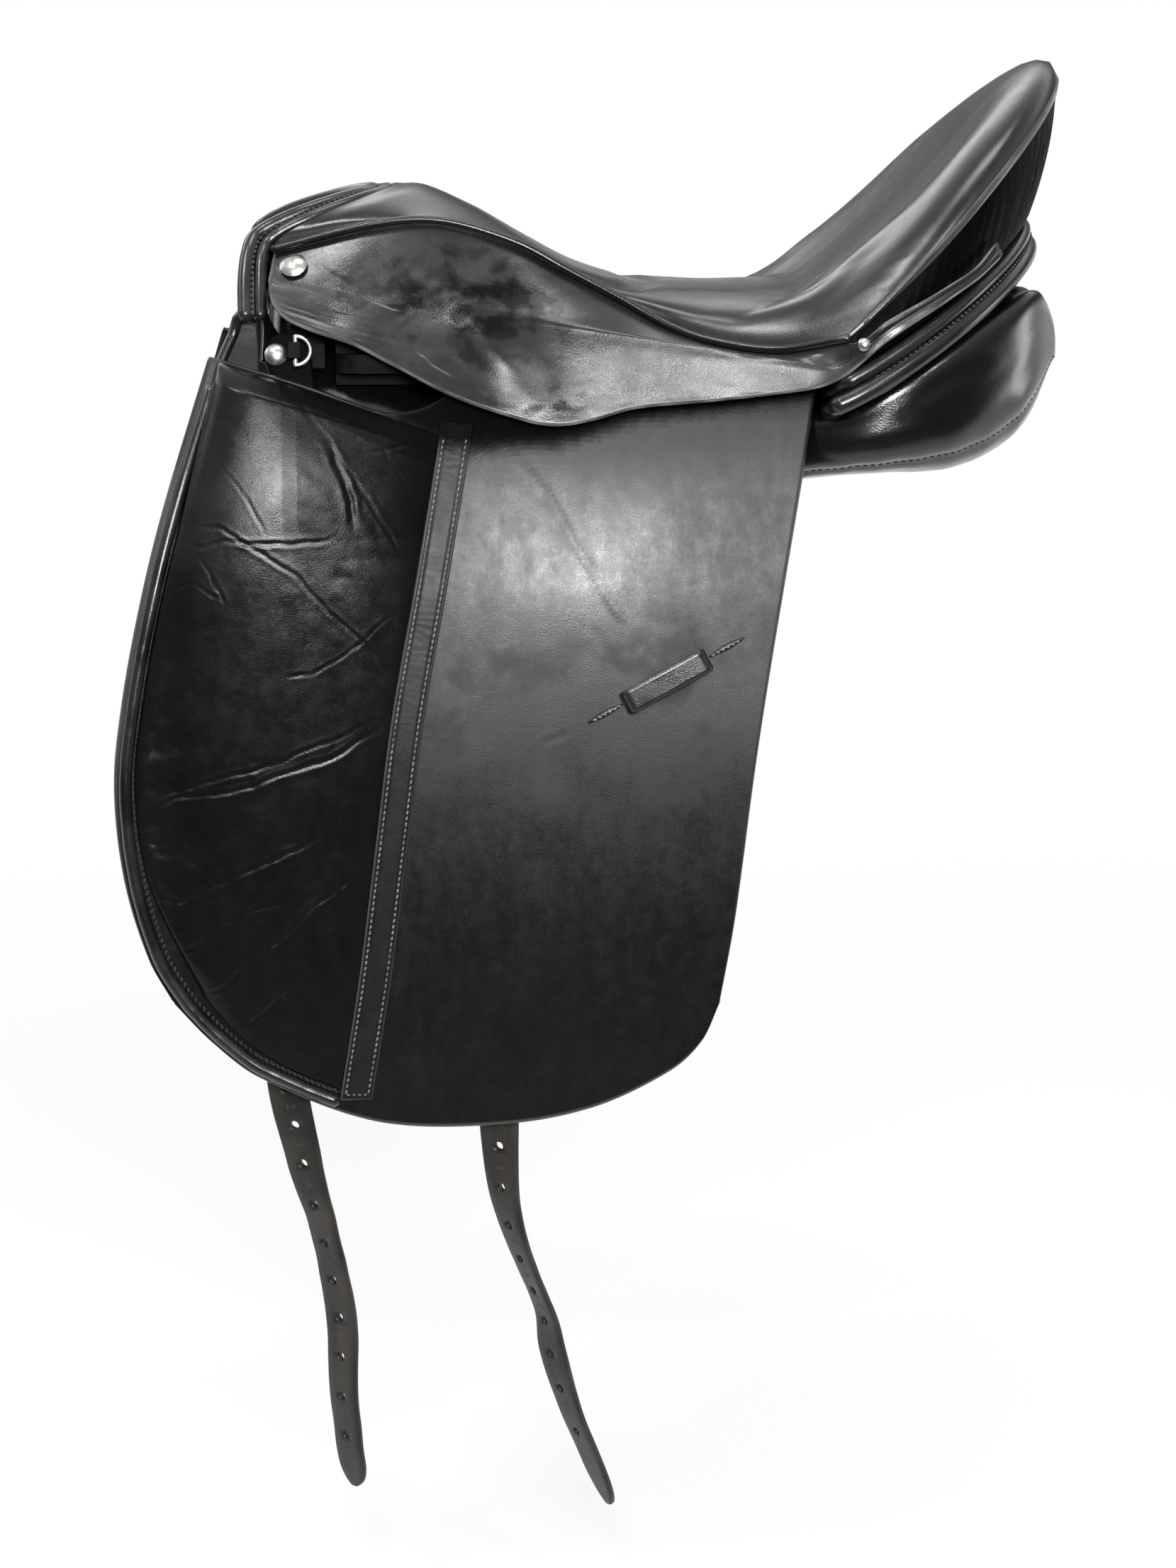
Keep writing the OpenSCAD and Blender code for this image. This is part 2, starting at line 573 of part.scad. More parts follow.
module flap_roll_left() {
  // It runs this far inside the edge, square to it
  inset = 5.6;
  path = concat(
    [
      for (k = [0:7]) let (s = 0.34 - k * 0.046, q = on_curve(flap_low, s), a = 38 + 95 * s)
        on_flap(q + inset * [cos(a), sin(a)], 4.3)
    ],
    [
      for (k = [0:14]) let (t = k / 14.5, q = on_curve(flap_front, t), a = max(-14, 38 - 125 * t))
        on_flap(q + inset * [cos(a), sin(a)], 4.3)
    ]
  );
  color("#232325") cord(path, 3.4, 6, [0, 1, 0]);
}
module flap_roll_right() { mirror([0, 1, 0]) flap_roll_left(); }

// Keeper loop across the rear of the flap, a strap bent to a flat arch
keeper_at = [38, -132];
keeper_l = 51;
keeper_w = 13;
keeper_t = 2.6;
keeper_bend = 2.4;
keeper_rise = 28;
function arch(half, high, r) = concat(
  [[half, 0]], [for (a = [0:18:90]) [half - r + r * cos(a), high - r + r * sin(a)]],
  [for (a = [90:18:180]) [r - half + r * cos(a), high - r + r * sin(a)]], [[-half, 0]]
);
module keeper_left() {
  z = gz(keeper_at[1]);
  lean = atan((breadth(z - 15) - breadth(z + 15)) / 30);
  inner = arch(keeper_l / 2 - keeper_t, keeper_clear, keeper_bend);
  outer = arch(keeper_l / 2, keeper_clear + keeper_t, keeper_bend + keeper_t);
  color("#38383b")
    translate([gx(keeper_at[0]), -breadth(z) - 0.3, z])
      rotate([90 - lean, 0, 0]) rotate([0, 0, keeper_rise]) rotate([90, 0, 0])
        translate([0, 0, -keeper_w / 2]) linear_extrude(keeper_w)
          polygon(concat(outer, [for (k = [len(inner) - 1:-1:0]) inner[k]]));
}
module keeper_right() { mirror([0, 1, 0]) keeper_left(); }

// Tree points in their leather pockets, with the ring studs on them
point_lean = 22;
point_place = [gx(-162), -101.5, 38];
module on_point() { translate(point_place) rotate([90 - point_lean, 0, 0]) children(); }
module point_cover_left() {
  color("#1e1e20") on_point() translate([0, 0, -9]) linear_extrude(9) polygon(concat(
    [for (a = [0:18:180]) [13 * cos(a), 13 * sin(a)]],
    [for (a = [180:18:360]) [4 + 11 * cos(a), -18 + 11 * sin(a)]]
  ));
}
module point_cover_right() { mirror([0, 1, 0]) point_cover_left(); }

module dome(d, h, rim) {
  cylinder(d = d, h = rim, $fn = 32);
  translate([0, 0, rim]) rotate_extrude($fn = 32) intersection() {
    translate([0, h - (d * d / 4 + h * h) / (2 * h)]) circle(r = (d * d / 4 + h * h) / (2 * h), $fn = 64);
    square([d / 2, h]);
  }
}
module dee_stud() { on_point() translate([-6, 0, 0.3]) dome(stud_d, 2.6, 1); }
module dee_studs() {
  color("#c9cbcd") { dee_stud(); mirror([0, 1, 0]) dee_stud(); }
}

ring_r = 8;
ring_axis = [4.5, 1.5, 2.6];
module dee_clip() {
  on_point() difference() {
    translate([0.6, -3, 0.3]) cube([6.2, 9, 4.4]);
    translate([ring_axis[0], -10, ring_axis[2]]) rotate([-90, 0, 0])
      cylinder(d = ring_wire_d + 0.1, h = 24, $fn = 24);
  }
}
module dee_clips() {
  color("#a9abad") { dee_clip(); mirror([0, 1, 0]) dee_clip(); }
}
module dee_ring_left() {
  color("#b5b7ba") on_point() translate(ring_axis) {
    translate([0, -ring_r, 0]) rotate([-90, 0, 0]) cylinder(d = ring_wire_d, h = 2 * ring_r, $fn = 24);
    rotate([0, 0, -90]) rotate_extrude(angle = 180, $fn = 48)
      translate([ring_r, 0]) circle(d = ring_wire_d, $fn = 20);
    for (s = [-1, 1]) translate([0, s * ring_r, 0]) sphere(d = ring_wire_d, $fn = 20);
  }
}
module dee_ring_right() { mirror([0, 1, 0]) dee_ring_left(); }

// Stirrup bars: a plate on the tree, a bend at the front, and a bar open to the back
bar_front = gx(-136);
bar_l = 70;
bar_h = 10;
bar_z = 33;
bar_in = 88;
bar_gap = 6.2;
plate_t = 3;
plate_h = 34;
plate_low = 12;
plate_over = 8;
catch_t = 2.6;
catch_x = bar_front + bar_l - 5;
bar_mid = bar_in + plate_t + bar_gap + bar_t / 2;
rivet_d = 5;
rivet_x = [14, 56];
rivet_up = 14;
module stirrup_bar_left() {
  bend = bar_gap + bar_t;
  face = bar_in + plate_t;
  color("#8d9093") difference() {
    union() {
      translate([bar_front, -face, bar_z - plate_low]) cube([bar_l + plate_over, plate_t, plate_h]);
      translate([bar_front + bend, -face, bar_z - bar_h / 2]) rotate([0, 0, 180])
        rotate_extrude(angle = 90, $fn = 48) translate([bar_gap, 0]) square([bar_t, bar_h]);
      translate([bar_front + bend, -face - bend, bar_z - bar_h / 2])
        cube([bar_l - bend, bar_t, bar_h]);
    }
    translate([catch_x - 7, -bar_mid - catch_t / 2 - 0.1, bar_z - bar_h])
      cube([20, catch_t + 0.2, 2 * bar_h]);
    translate([catch_x, -bar_mid - 10, bar_z]) rotate([-90, 0, 0])
      cylinder(d = pin_d + 0.04, h = 20, $fn = 24);
    for (x = rivet_x) translate([bar_front + x, -face - 1, bar_z + rivet_up])
      rotate([-90, 0, 0]) cylinder(d = rivet_d + 0.1, h = 6, $fn = 24);
  }
}
module stirrup_bar_right() { mirror([0, 1, 0]) stirrup_bar_left(); }

module bar_rivet_pair() {
  for (x = rivet_x) translate([bar_front + x, -bar_in - plate_t - 0.2, bar_z + rivet_up]) {
    rotate([-90, 0, 0]) cylinder(d = rivet_d, h = plate_t + 0.1, $fn = 24);
    rotate([90, 0, 0]) cylinder(d = rivet_d + 3, h = 1.6, $fn = 24);
  }
}
module bar_rivets() {
  color("#b08d4f") { bar_rivet_pair(); mirror([0, 1, 0]) bar_rivet_pair(); }
}

module catch_pin() {
  translate([catch_x, -bar_mid - bar_t / 2, bar_z]) rotate([-90, 0, 0])
    cylinder(d = pin_d, h = bar_t, $fn = 24);
}
module catch_pins() {
  color("#c2c4c6") { catch_pin(); mirror([0, 1, 0]) catch_pin(); }
}

module bar_catch_left() {
  color("#9ea1a4") translate([catch_x, -bar_mid + catch_t / 2, bar_z]) rotate([90, 0, 0])
    linear_extrude(catch_t) difference() {
      union() {
        circle(r = 4.2, $fn = 32);
        translate([0, -3]) square([15, 6]);
        translate([15, 0]) circle(r = 3, $fn = 24);
      }
      circle(d = pin_d + 0.1, $fn = 24);
    }
}
module bar_catch_right() { mirror([0, 1, 0]) bar_catch_left(); }

// Girth straps hang in the slot between flap and sweat flap, the rear one just behind the bar's plate
function slot_mid(z) = breadth(z) - flap_t - slot_w / 2;
web_w = 24;
front_strap_x = gx(-155);
rear_strap_x = bar_front + bar_l + plate_over + 2 + web_w / 2;
side_rear = rear_strap_x - web_w / 2 - 1.5;
module girth_web_left() {
  // It lies under the top of the strap, then runs up to the rail of the tree
  web_gap = 1.1;
  sheet = 2;
  under = turn_r + billet_t / 2 + web_gap + sheet / 2;
  path = concat(
    [[0, 73, 68.2], [0.3, 84, 57], [0.55, 92.5, 37]],
    [for (z = [16, 6, -2, -8]) [0.8 - z / 80, slot_mid(z) - under, z]]
  );
  stations = [
    for (k = [0:10])
      let (
        t = 0.091 * k, p = on_curve(path, t), q = on_curve(path, t + 0.002),
        d = unit([0, p[0] - q[0], q[1] - p[1]])
      )
      [[rear_strap_x, -p[0], p[1]], [1, 0, 0], [0, -d[2], d[1]], web_w / 2]
  ];
  color("#4a4238") strap(stations, sheet);
}
module girth_web_right() { mirror([0, 1, 0]) girth_web_left(); }

// Hanging strap: place, x from its top, z, out of the slot's middle, twist about its length
front_hang = [
  [0, 0, 9.8, 0, 0], [0.18, -3, -100, 0, 0], [0.4, -12, -240, 0, 0], [0.56, -14, -340, 0, 6],
  [0.66, -5, -396, -2, 28], [0.73, 5, -437, -4, 46], [0.82, 14, -486, -4, 42], [0.9, 15, -532, -3, 48],
  [0.96, 18, -566, -2, 50], [1, 21, -588, -2, 50]
];
rear_hang = [
  [0, 0, 8, -2.9, 0], [0.1, -2, -60, -1, 0], [0.24, -4, -150, 0, 0], [0.48, -9, -300, 0, 4],
  [0.585, -9, -362, 0, 8], [0.64, -8, -396, -1, 32], [0.69, -5, -426, -2, 50], [0.76, 6, -462, -3, 62],
  [0.82, 17, -490, -3, 62], [0.87, 21, -514, -2, 52], [0.93, 31, -548, -2, 58], [1, 53, -603, -2, 62]
];
// A strap is round at its top, where it turns, and at its tip
top_t = 0.0183;
tip_t = 0.97;
function round_w(k) = billet_w / 2 * sqrt(max(0.05, 1 - k * k));
function strap_w(t) =
  t < top_t ? round_w(1 - t / top_t) : t < tip_t ? billet_w / 2 : round_w((t - tip_t) / (1 - tip_t));
function hang_at(p, x, t) =
  let (v = on_curve(p, t), z = gz(v[1])) [x + gx(v[0]), -(slot_mid(max(z, -380)) + v[2]), z];
function hang_station(p, x, t) =
  let (
    c = hang_at(p, x, t), d = unit(hang_at(p, x, t + 0.004) - hang_at(p, x, t - 0.004)),
    w = on_curve(p, t)[3], flat = unit(cross([cos(w), -sin(w), 0], d)), across = cross(d, flat)
  )
  [c, across, flat, strap_w(t)];
hang_ts = concat(
  [for (k = [0.03, 0.15, 0.35, 0.65]) k * top_t], [for (k = [0:30]) lerp(top_t, tip_t, k / 30)],
  [for (k = [0.35, 0.6, 0.8, 0.93, 1]) lerp(tip_t, 1, k)]
);
first_hole_t = 0.945;
module hanging_strap(p, x) {
  stations = [for (t = hang_ts) hang_station(p, x, t)];
  length = p[0][2] - gz(p[len(p) - 1][2]);
  color("#2c2623") difference() {
    strap(stations, billet_t);
    for (k = [0:9]) {
      s = hang_station(p, x, first_hole_t - k * hole_pitch / length);
      y = cross(s[2], s[1]);
      multmatrix([
        [s[1][0], y[0], s[2][0], s[0][0]],
        [s[1][1], y[1], s[2][1], s[0][1]],
        [s[1][2], y[2], s[2][2], s[0][2]]
      ]) cylinder(d = hole_d, h = 12, center = true, $fn = k == 1 ? 24 : 8);
    }
  }
}
module billet_front_left() { hanging_strap(front_hang, front_strap_x); }
module billet_rear_left() { hanging_strap(rear_hang, rear_strap_x); }

// The off-side straps are tucked up, doubled back in the slot
turn_z = -300;
turn_r = 2.9;
module tucked_strap(x, top, end) {
  low = gz(turn_z);
  half = billet_w / 2;
  down = concat(
    [for (k = [0.03, 0.15, 0.35, 0.65]) [top - k * half, round_w(1 - k)]],
    [for (k = [0:9]) [lerp(top - half, low, k / 9), half]]
  );
  up = concat(
    [for (k = [0:9]) [lerp(low, end - half, k / 9), half]],
    [for (k = [0.35, 0.65, 0.85, 0.97]) [end - half + k * half, round_w(k)]]
  );
  path = concat(
    [for (q = down) [[x, slot_mid(q[0]) - turn_r, q[0]], q[1]]],
    [for (a = [30:30:150]) [[x, slot_mid(low) - turn_r * cos(a), low - turn_r * sin(a)], half]],
    [for (q = up) [[x, slot_mid(q[0]) + turn_r, q[0]], q[1]]]
  );
  last = len(path) - 1;
  stations = [
    for (k = [0:last])
      let (d = unit(path[min(k + 1, last)][0] - path[max(k - 1, 0)][0]))
      [path[k][0], [-1, 0, 0], cross(d, [-1, 0, 0]), path[k][1]]
  ];
  color("#2c2623") difference() {
    strap(stations, billet_t);
    for (k = [0:8]) {
      z = end - 30 - hole_pitch * k;
      translate([x, slot_mid(z) + turn_r, z]) rotate([90, 0, 0])
        cylinder(d = hole_d, h = 2 * turn_r, center = true, $fn = 8);
    }
  }
}
module billet_front_right() { tucked_strap(front_strap_x, 8.7, -20); }
module billet_rear_right() { tucked_strap(rear_strap_x, 8, -10); }

// A stud set square on the skirt, whose rows run between two lines
module stud_on(row, x, t, d, h, lift) {
  n = unit(cross(row(x, t + 0.1) - row(x, t - 0.1), row(x + 2, t) - row(x - 2, t)));
  out = n[1] < 0 ? -n : n;
  up = near(out);
  translate(near(row(x, t) + lift * out))
    rotate(a = acos(up[2]), v = cross([0, 0, 1], up)) dome(d, h, 0.8);
}
front_row = function (x, t) lerp(skirt_fold(gx(x)), welt_at(gx(x)), t);
tail_row = function (x, t)
  let (u = (x - 137) / 60, a = on_curve(tail_low, u), b = on_curve(tail_high, u))
  let (q = lerp(a, b, t)) [gx(q[0]), q[1], q[2]];
module skirt_badge() { stud_on(front_row, -158, 0.45, 15, 2.4, 1.3); }
module skirt_badges() {
  color("#c4c6c8") { skirt_badge(); mirror([0, 1, 0]) skirt_badge(); }
}
module skirt_nail() { stud_on(tail_row, 141, 0.5, 7, 1.8, 0.7); }
module skirt_nails() {
  color("#d0d0cc") { skirt_nail(); mirror([0, 1, 0]) skirt_nail(); }
}

tree_frame();
tree_side_left();
tree_side_right();
head_plate();
spring_left();
spring_right();
seat_webbing();
seat_foam();
seat_cover();
seat_welt_left();
seat_welt_right();
pommel_roll();
panel_front_roll();
arch_lining();
cantle_cover();
cantle_roll_upper();
cantle_roll_lower();
panel_left();
panel_right();
gullet_lining();
sweat_flap_left();
sweat_flap_right();
skirt_margin_left();
skirt_margin_right();
flap_margin_left();
flap_margin_right();
point_cover_left();
point_cover_right();
stirrup_bar_left();
stirrup_bar_right();
bar_rivets();
catch_pins();
bar_catch_left();
bar_catch_right();
girth_web_left();
girth_web_right();
dee_studs();
dee_clips();
dee_ring_left();
dee_ring_right();
skirt_badges();
skirt_nails();
skirt_left();
skirt_right();
flap_left();
flap_right();
knee_block_left();
knee_block_right();
flap_strip_left();
flap_strip_right();
flap_roll_left();
flap_roll_right();
keeper_left();
keeper_right();
billet_front_left();
billet_rear_left();
billet_front_right();
billet_rear_right();
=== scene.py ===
import math

import bmesh
import bpy
import numpy as np
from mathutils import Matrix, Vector


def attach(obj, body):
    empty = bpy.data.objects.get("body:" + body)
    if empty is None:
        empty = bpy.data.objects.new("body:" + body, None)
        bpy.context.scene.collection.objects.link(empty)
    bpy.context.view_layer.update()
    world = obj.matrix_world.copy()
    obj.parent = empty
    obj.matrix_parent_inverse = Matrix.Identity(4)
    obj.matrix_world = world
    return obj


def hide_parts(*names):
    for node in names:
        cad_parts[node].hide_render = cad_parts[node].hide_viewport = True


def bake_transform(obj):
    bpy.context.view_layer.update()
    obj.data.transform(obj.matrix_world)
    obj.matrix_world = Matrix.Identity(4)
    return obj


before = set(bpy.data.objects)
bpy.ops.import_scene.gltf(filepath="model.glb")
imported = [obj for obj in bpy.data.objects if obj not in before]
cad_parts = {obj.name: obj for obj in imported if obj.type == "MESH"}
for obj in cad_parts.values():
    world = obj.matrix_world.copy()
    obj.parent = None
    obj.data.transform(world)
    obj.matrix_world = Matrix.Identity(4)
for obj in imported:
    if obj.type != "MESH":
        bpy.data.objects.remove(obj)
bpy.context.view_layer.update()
scene = bpy.context.scene
MM = 0.001
SIDES = (("left", -1), ("right", 1))


# Numbers: curves, patches and noise, all in millimetres

def lerp(a, b, t):
    return a + (b - a) * t


def smooth(a, b, x):
    t = np.clip((np.asarray(x, float) - a) / (b - a), 0, 1)
    return t * t * (3 - 2 * t)


def unit(v):
    return v / np.maximum(np.linalg.norm(v, axis=-1, keepdims=True), 1e-9)


def points(*values):
    """Points from their coordinates, which may be arrays or single numbers."""
    return np.stack(np.broadcast_arrays(*values), -1)


def bell(x, width):
    return np.exp(-(x / width) ** 2)


def blob(x, z, x0, z0, wide, high):
    return np.exp(-((x - x0) / wide) ** 2 - ((z - z0) / high) ** 2)


def curve(rows, x):
    """Smooth curve through rows of [place, values...]."""
    p = np.asarray(rows, float)
    x = np.asarray(x, float)
    last = len(p) - 1
    i = np.clip(np.searchsorted(p[:, 0], x, side="right") - 1, 0, last - 1)
    before = np.maximum(np.arange(last + 1) - 1, 0)
    after = np.minimum(np.arange(last + 1) + 1, last)
    slope = (p[after] - p[before]) / (p[after, :1] - p[before, :1])
    h = (p[i + 1, 0] - p[i, 0])[..., None]
    t = (x[..., None] - p[i, 0][..., None]) / h
    q, c = t * t, t * t * t
    v = p[i] * (2 * c - 3 * q + 1) + slope[i] * h * (c - 2 * q + t)
    return (v + p[i + 1] * (3 * q - 2 * c) + slope[i + 1] * h * (c - q))[..., 1:]


def patch(low, high, front, rear, s, t):
    """Surface spanned by four edge curves."""
    zero, one, s1, t1 = np.zeros_like(s), np.ones_like(s), s[..., None], t[..., None]
    a = lerp(curve(low, s), curve(high, s), t1) + lerp(curve(front, t), curve(rear, t), s1)
    below = lerp(curve(front, zero), curve(rear, zero), s1)
    above = lerp(curve(front, one), curve(rear, one), s1)
    return a - lerp(below, above, t1)


def noise(x, y, seed=0):
    """Smooth uneven values from -1 to 1, the same at every run."""
    xi, yi = np.floor(x), np.floor(y)
    fx, fy = x - xi, y - yi
    u, v = fx * fx * (3 - 2 * fx), fy * fy * (3 - 2 * fy)

    def at(a, b):
        n = np.sin(a * 127.1 + b * 311.7 + seed * 74.7) * 43758.5453
        return n - np.floor(n)
    low = lerp(at(xi, yi), at(xi + 1, yi), u)
    high = lerp(at(xi, yi + 1), at(xi + 1, yi + 1), u)
    return lerp(low, high, v) * 2 - 1


def cloud(x, y, seed=0):
    return (noise(x, y, seed) + 0.5 * noise(2 * x, 2 * y, seed + 1) + 0.25 * noise(4 * x, 4 * y, seed + 2)) / 1.75


def to_line(x, z, line):
    """Distance of points to a line of places, and how far along it they lie, from 0 to 1."""
    p = np.asarray(line, float)
    step = np.linalg.norm(np.diff(p, axis=0), axis=1)
    start = np.concatenate([[0], np.cumsum(step)])
    best = np.full(x.shape, 1e9)
    place = np.zeros(x.shape)
    for k in range(len(p) - 1):
        d = p[k + 1] - p[k]
        t = np.clip(((x - p[k, 0]) * d[0] + (z - p[k, 1]) * d[1]) / (d @ d), 0, 1)
        r = np.hypot(x - p[k, 0] - t * d[0], z - p[k, 1] - t * d[1])
        nearer = r < best
        best = np.where(nearer, r, best)
        place = np.where(nearer, (start[k] + t * step[k]) / start[-1], place)
    return best, place


def creases(x, z, lines, seed=0):
    """Height of creases, each a groove with two lips that fades at its ends. Rows are depth, width, line."""
    total = np.zeros(x.shape)
    wx = x + 2.2 * cloud(x / 14, z / 14, seed)
    wz = z + 2.2 * cloud(x / 14, z / 14, seed + 7)
    for k, (depth, width, line) in enumerate(lines):
        r, place = to_line(wx, wz, line)
        fade = np.minimum(smooth(0, 0.12, place), smooth(1, 0.8, place)) + 0.15
        wave = 0.75 + 0.35 * noise(place * 9, place * 0 + k, seed + k)
        groove = -bell(r, width) + 0.4 * bell(r - 2.1 * width, 1.3 * width)
        total += depth * np.minimum(fade, 1) * wave * groove
    return total


# Patterns of the saddle. A row is a place along a curve, from 0 to 1, and x and z, or x, y and z, there. Breadths and
# the lining run over a height or x instead. The straps' rows end with a shift outward and a turn in degrees.

def fz(k):
    return 69 + 57 * k


def rz(k):
    return 69 + 118 * k


CENTRE_LINE = [
    [0, -100, fz(1)], [0.1, -84, fz(0.97)], [0.25, -58, fz(0.75)], [0.4, -28, fz(0.45)], [0.52, 2, fz(0.18)],
    [0.62, 32, fz(0.03)], [0.7, 60, fz(0)], [0.78, 100, rz(0)], [0.85, 145, rz(0.05)], [0.92, 200, rz(0.33)],
    [0.97, 245, rz(0.76)], [1, 270, rz(1)],
]
EDGE_LINE = [
    [0, -169, 66, fz(0.44)], [0.2, -113, 72, fz(0.68)], [0.32, -78, 75, fz(0.71)], [0.45, -38, 78, fz(0.51)],
    [0.55, -10, 82, fz(0.25)], [0.65, 17, 90, fz(0)], [0.75, 44, 100, fz(-0.26)], [0.83, 67, 111, fz(-0.39)],
    [0.92, 100, 126, fz(-0.45)], [1, 135, 142, fz(-0.33)],
]
ROUNDNESS = [[0, 0.66], [0.3, 0.58], [0.6, 0.48], [0.8, 0.5], [0.9, 0.8], [1, 1.06]]
BREADTH = [
    [-390, 168], [-335, 167], [-263, 165], [-217, 163], [-170, 160], [-125, 155], [-80, 148], [-29, 135],
    [15, 118], [48, 105],
]
FLAP_T, SLOT_W, SWEAT_T, SKIRT_T = 4.5, 13.0, 3.5, 3.5
FLAP_LOW = [
    [0, -228, -303], [0.1, -208, -325], [0.2, -183, -345], [0.42, -120, -371], [0.6, -59, -374.5],
    [0.78, -3, -366], [0.9, 40, -346], [0.96, 58, -329], [1, 67, -309],
]
FLAP_FRONT = [
    [0, -228, -303], [0.06, -240, -280], [0.18, -252, -236], [0.32, -256, -187], [0.48, -251, -142],
    [0.64, -241, -92], [0.8, -228, -42], [1, -203, 37],
]
STRIP_LINE = [
    [0, -140, -364], [0.08, -136, -340], [0.2, -128, -292], [0.36, -119, -226], [0.55, -109, -153],
    [0.76, -95, -79], [1, -80, 3],
]
STRIP_W = 16.5
BLOCK_REAR = [
    [0, -139, -352], [0.18, -128.8, -292], [0.36, -119.8, -226], [0.55, -109.8, -153], [0.76, -95.8, -79],
    [1, -81.5, -3],
]
BLOCK_FRONT = [
    [0, -212, -298], [0.18, -239, -236], [0.32, -245, -187], [0.48, -240, -142], [0.64, -230, -92],
    [0.8, -217, -42], [1, -198, 35],
]
BLOCK_LOW = [[0, -212, -298], [0.3, -192, -321], [0.62, -168, -338.5], [1, -139, -352]]
BLOCK_HIGH = [[0, -198, 35], [0.4, -159, 23], [0.7, -124, 11], [1, -81.5, -3]]
SKIRT_EDGE = [
    [-172, 94, 62], [-148, 102, 52], [-126, 108.5, 45], [-105, 114.5, 34], [-73, 123.5, 17], [-35, 129, 5],
    [-17, 130.5, 3], [1, 131, 6], [23, 132, 12], [62, 137, 16], [97, 141, 20], [122, 146, 24], [134, 149, 28],
]
POMMEL_HALF = [
    [0, -104, 0, 122], [0.14, -107.7, 21.5, 121.8], [0.3, -122.5, 43, 118], [0.46, -146, 58, 110],
    [0.57, -163, 61.7, 102.5], [0.66, -172.5, 63.5, 95.5], [0.74, -175.5, 70, 88], [0.86, -176.3, 79, 75],
    [1, -176.3, 89, 58],
]
ROLL_LEAD = [
    [0, -8, 0, -1.5], [0.3, -6.5, -4.5, 1], [0.46, -5, -6, 2.5], [0.58, -5.5, -5, 3], [0.7, -6.5, -3, 3.5],
    [0.85, -8, -1, 1], [1, -8, 0, 0],
]
PANEL_PATTERN = [
    [-170, 42, 76, 62, 34, 16], [-158, 37, 84, 72, 26, -4], [-120, 34, 98, 74, 14, -24],
    [-70, 34, 107, 60, 6, -36], [0, 34, 107.8, 32, 4, -43], [60, 34, 107.8, 20, 4, -41],
    [100, 34, 109, 19.5, 5, -36], [135, 34, 128, 22, 10, -30], [165, 34, 133, 32, 26, -29],
    [200, 34, 124, 50, 46, -27], [230, 34, 104, 63, 61, -17], [250, 35, 84, 69, 70, -1], [264, 38, 62, 62, 64, 25],
]
LINING_Z = [
    [-112, 84], [-70, 66], [-30, 45], [10, 30], [60, 20.5], [110, 19.5], [150, 25.5], [190, 46], [225, 64], [246, 74],
]
SWEAT_LOW = [[0, -212, -280], [0.25, -166, -318], [0.5, -100, -338], [0.75, -20, -334], [1, 46, -286]]
SWEAT_FRONT = [
    [0, -212, -280], [0.3, -238, -190], [0.6, -229, -90], [0.82, -213, -14], [0.93, -203, 26], [1, -190.5, 54],
]
SWEAT_REAR = [[0, 46, -286], [0.35, 66, -190], [0.7, 84, -90], [1, 96, -14]]
SWEAT_HIGH = [
    [0, -190.5, 54], [0.06, -179.5, 53], [0.08, -178, 49], [0.1, -177, 12], [0.12, -172, 4], [0.3, -120, -6],
    [0.6, -20, -14], [1, 96, -14],
]
ARCH_HIGH = [
    [0, -107, 0, 115], [0.14, -110.5, 20, 114.5], [0.3, -124, 36.5, 111.5], [0.46, -146, 50, 104.5],
    [0.57, -163, 54.5, 98.5], [0.66, -171.5, 57, 92], [0.74, -175.5, 62.5, 85.5], [0.86, -176, 71.5, 72.5],
    [1, -176, 81.5, 55.5], [1.16, -177, 89, 34],
]
ARCH_LOW = [
    [0, -109.5, 0, 87.5], [0.14, -110.5, 17, 87], [0.3, -113.5, 31.5, 84.5], [0.46, -130, 36, 78.5],
    [0.57, -150, 40, 75.5], [0.66, -164, 45, 71], [0.74, -173, 51, 63], [0.86, -173, 62.5, 50.5],
    [1, -164, 76, 42], [1.16, -158, 83, 24],
]
FRONT_HANG = [
    [0, -155, 9.8, 0, 0], [0.18, -158, -100, 0, 0], [0.4, -167, -240, 0, 0], [0.56, -169, -340, 0, 6],
    [0.66, -160, -396, -2, 28], [0.73, -150, -437, -4, 46], [0.82, -141, -486, -4, 42], [0.9, -140, -532, -3, 48],
    [0.96, -137, -566, -2, 50], [1, -134, -588, -2, 50],
]
REAR_HANG = [
    [0, -44, 8, -2.9, 0], [0.1, -46, -60, -1, 0], [0.24, -48, -150, 0, 0], [0.48, -53, -300, 0, 4],
    [0.585, -53, -362, 0, 8], [0.64, -52, -396, -1, 32], [0.69, -49, -426, -2, 50], [0.76, -38, -462, -3, 62],
    [0.82, -27, -490, -3, 62], [0.87, -23, -514, -2, 52], [0.93, -13, -548, -2, 58], [1, 9, -603, -2, 62],
]


def breadth(z):
    return curve(BREADTH, np.clip(z, -390, 48))[..., 0]


def on_flap(xz, out, k):
    """Place on the flap's face, out from it, on the side k."""
    z = xz[..., 1]
    return points(xz[..., 0], k * (breadth(z) + out), z)


def fold_at(x):
    """Height of the line that a flap lifts about, from its front end to its rear end."""
    front_x, rear_x, front_z, rear_z = -205, 123, 42.0, 18.0
    return lerp(front_z, rear_z, (x - front_x) / (rear_x - front_x))


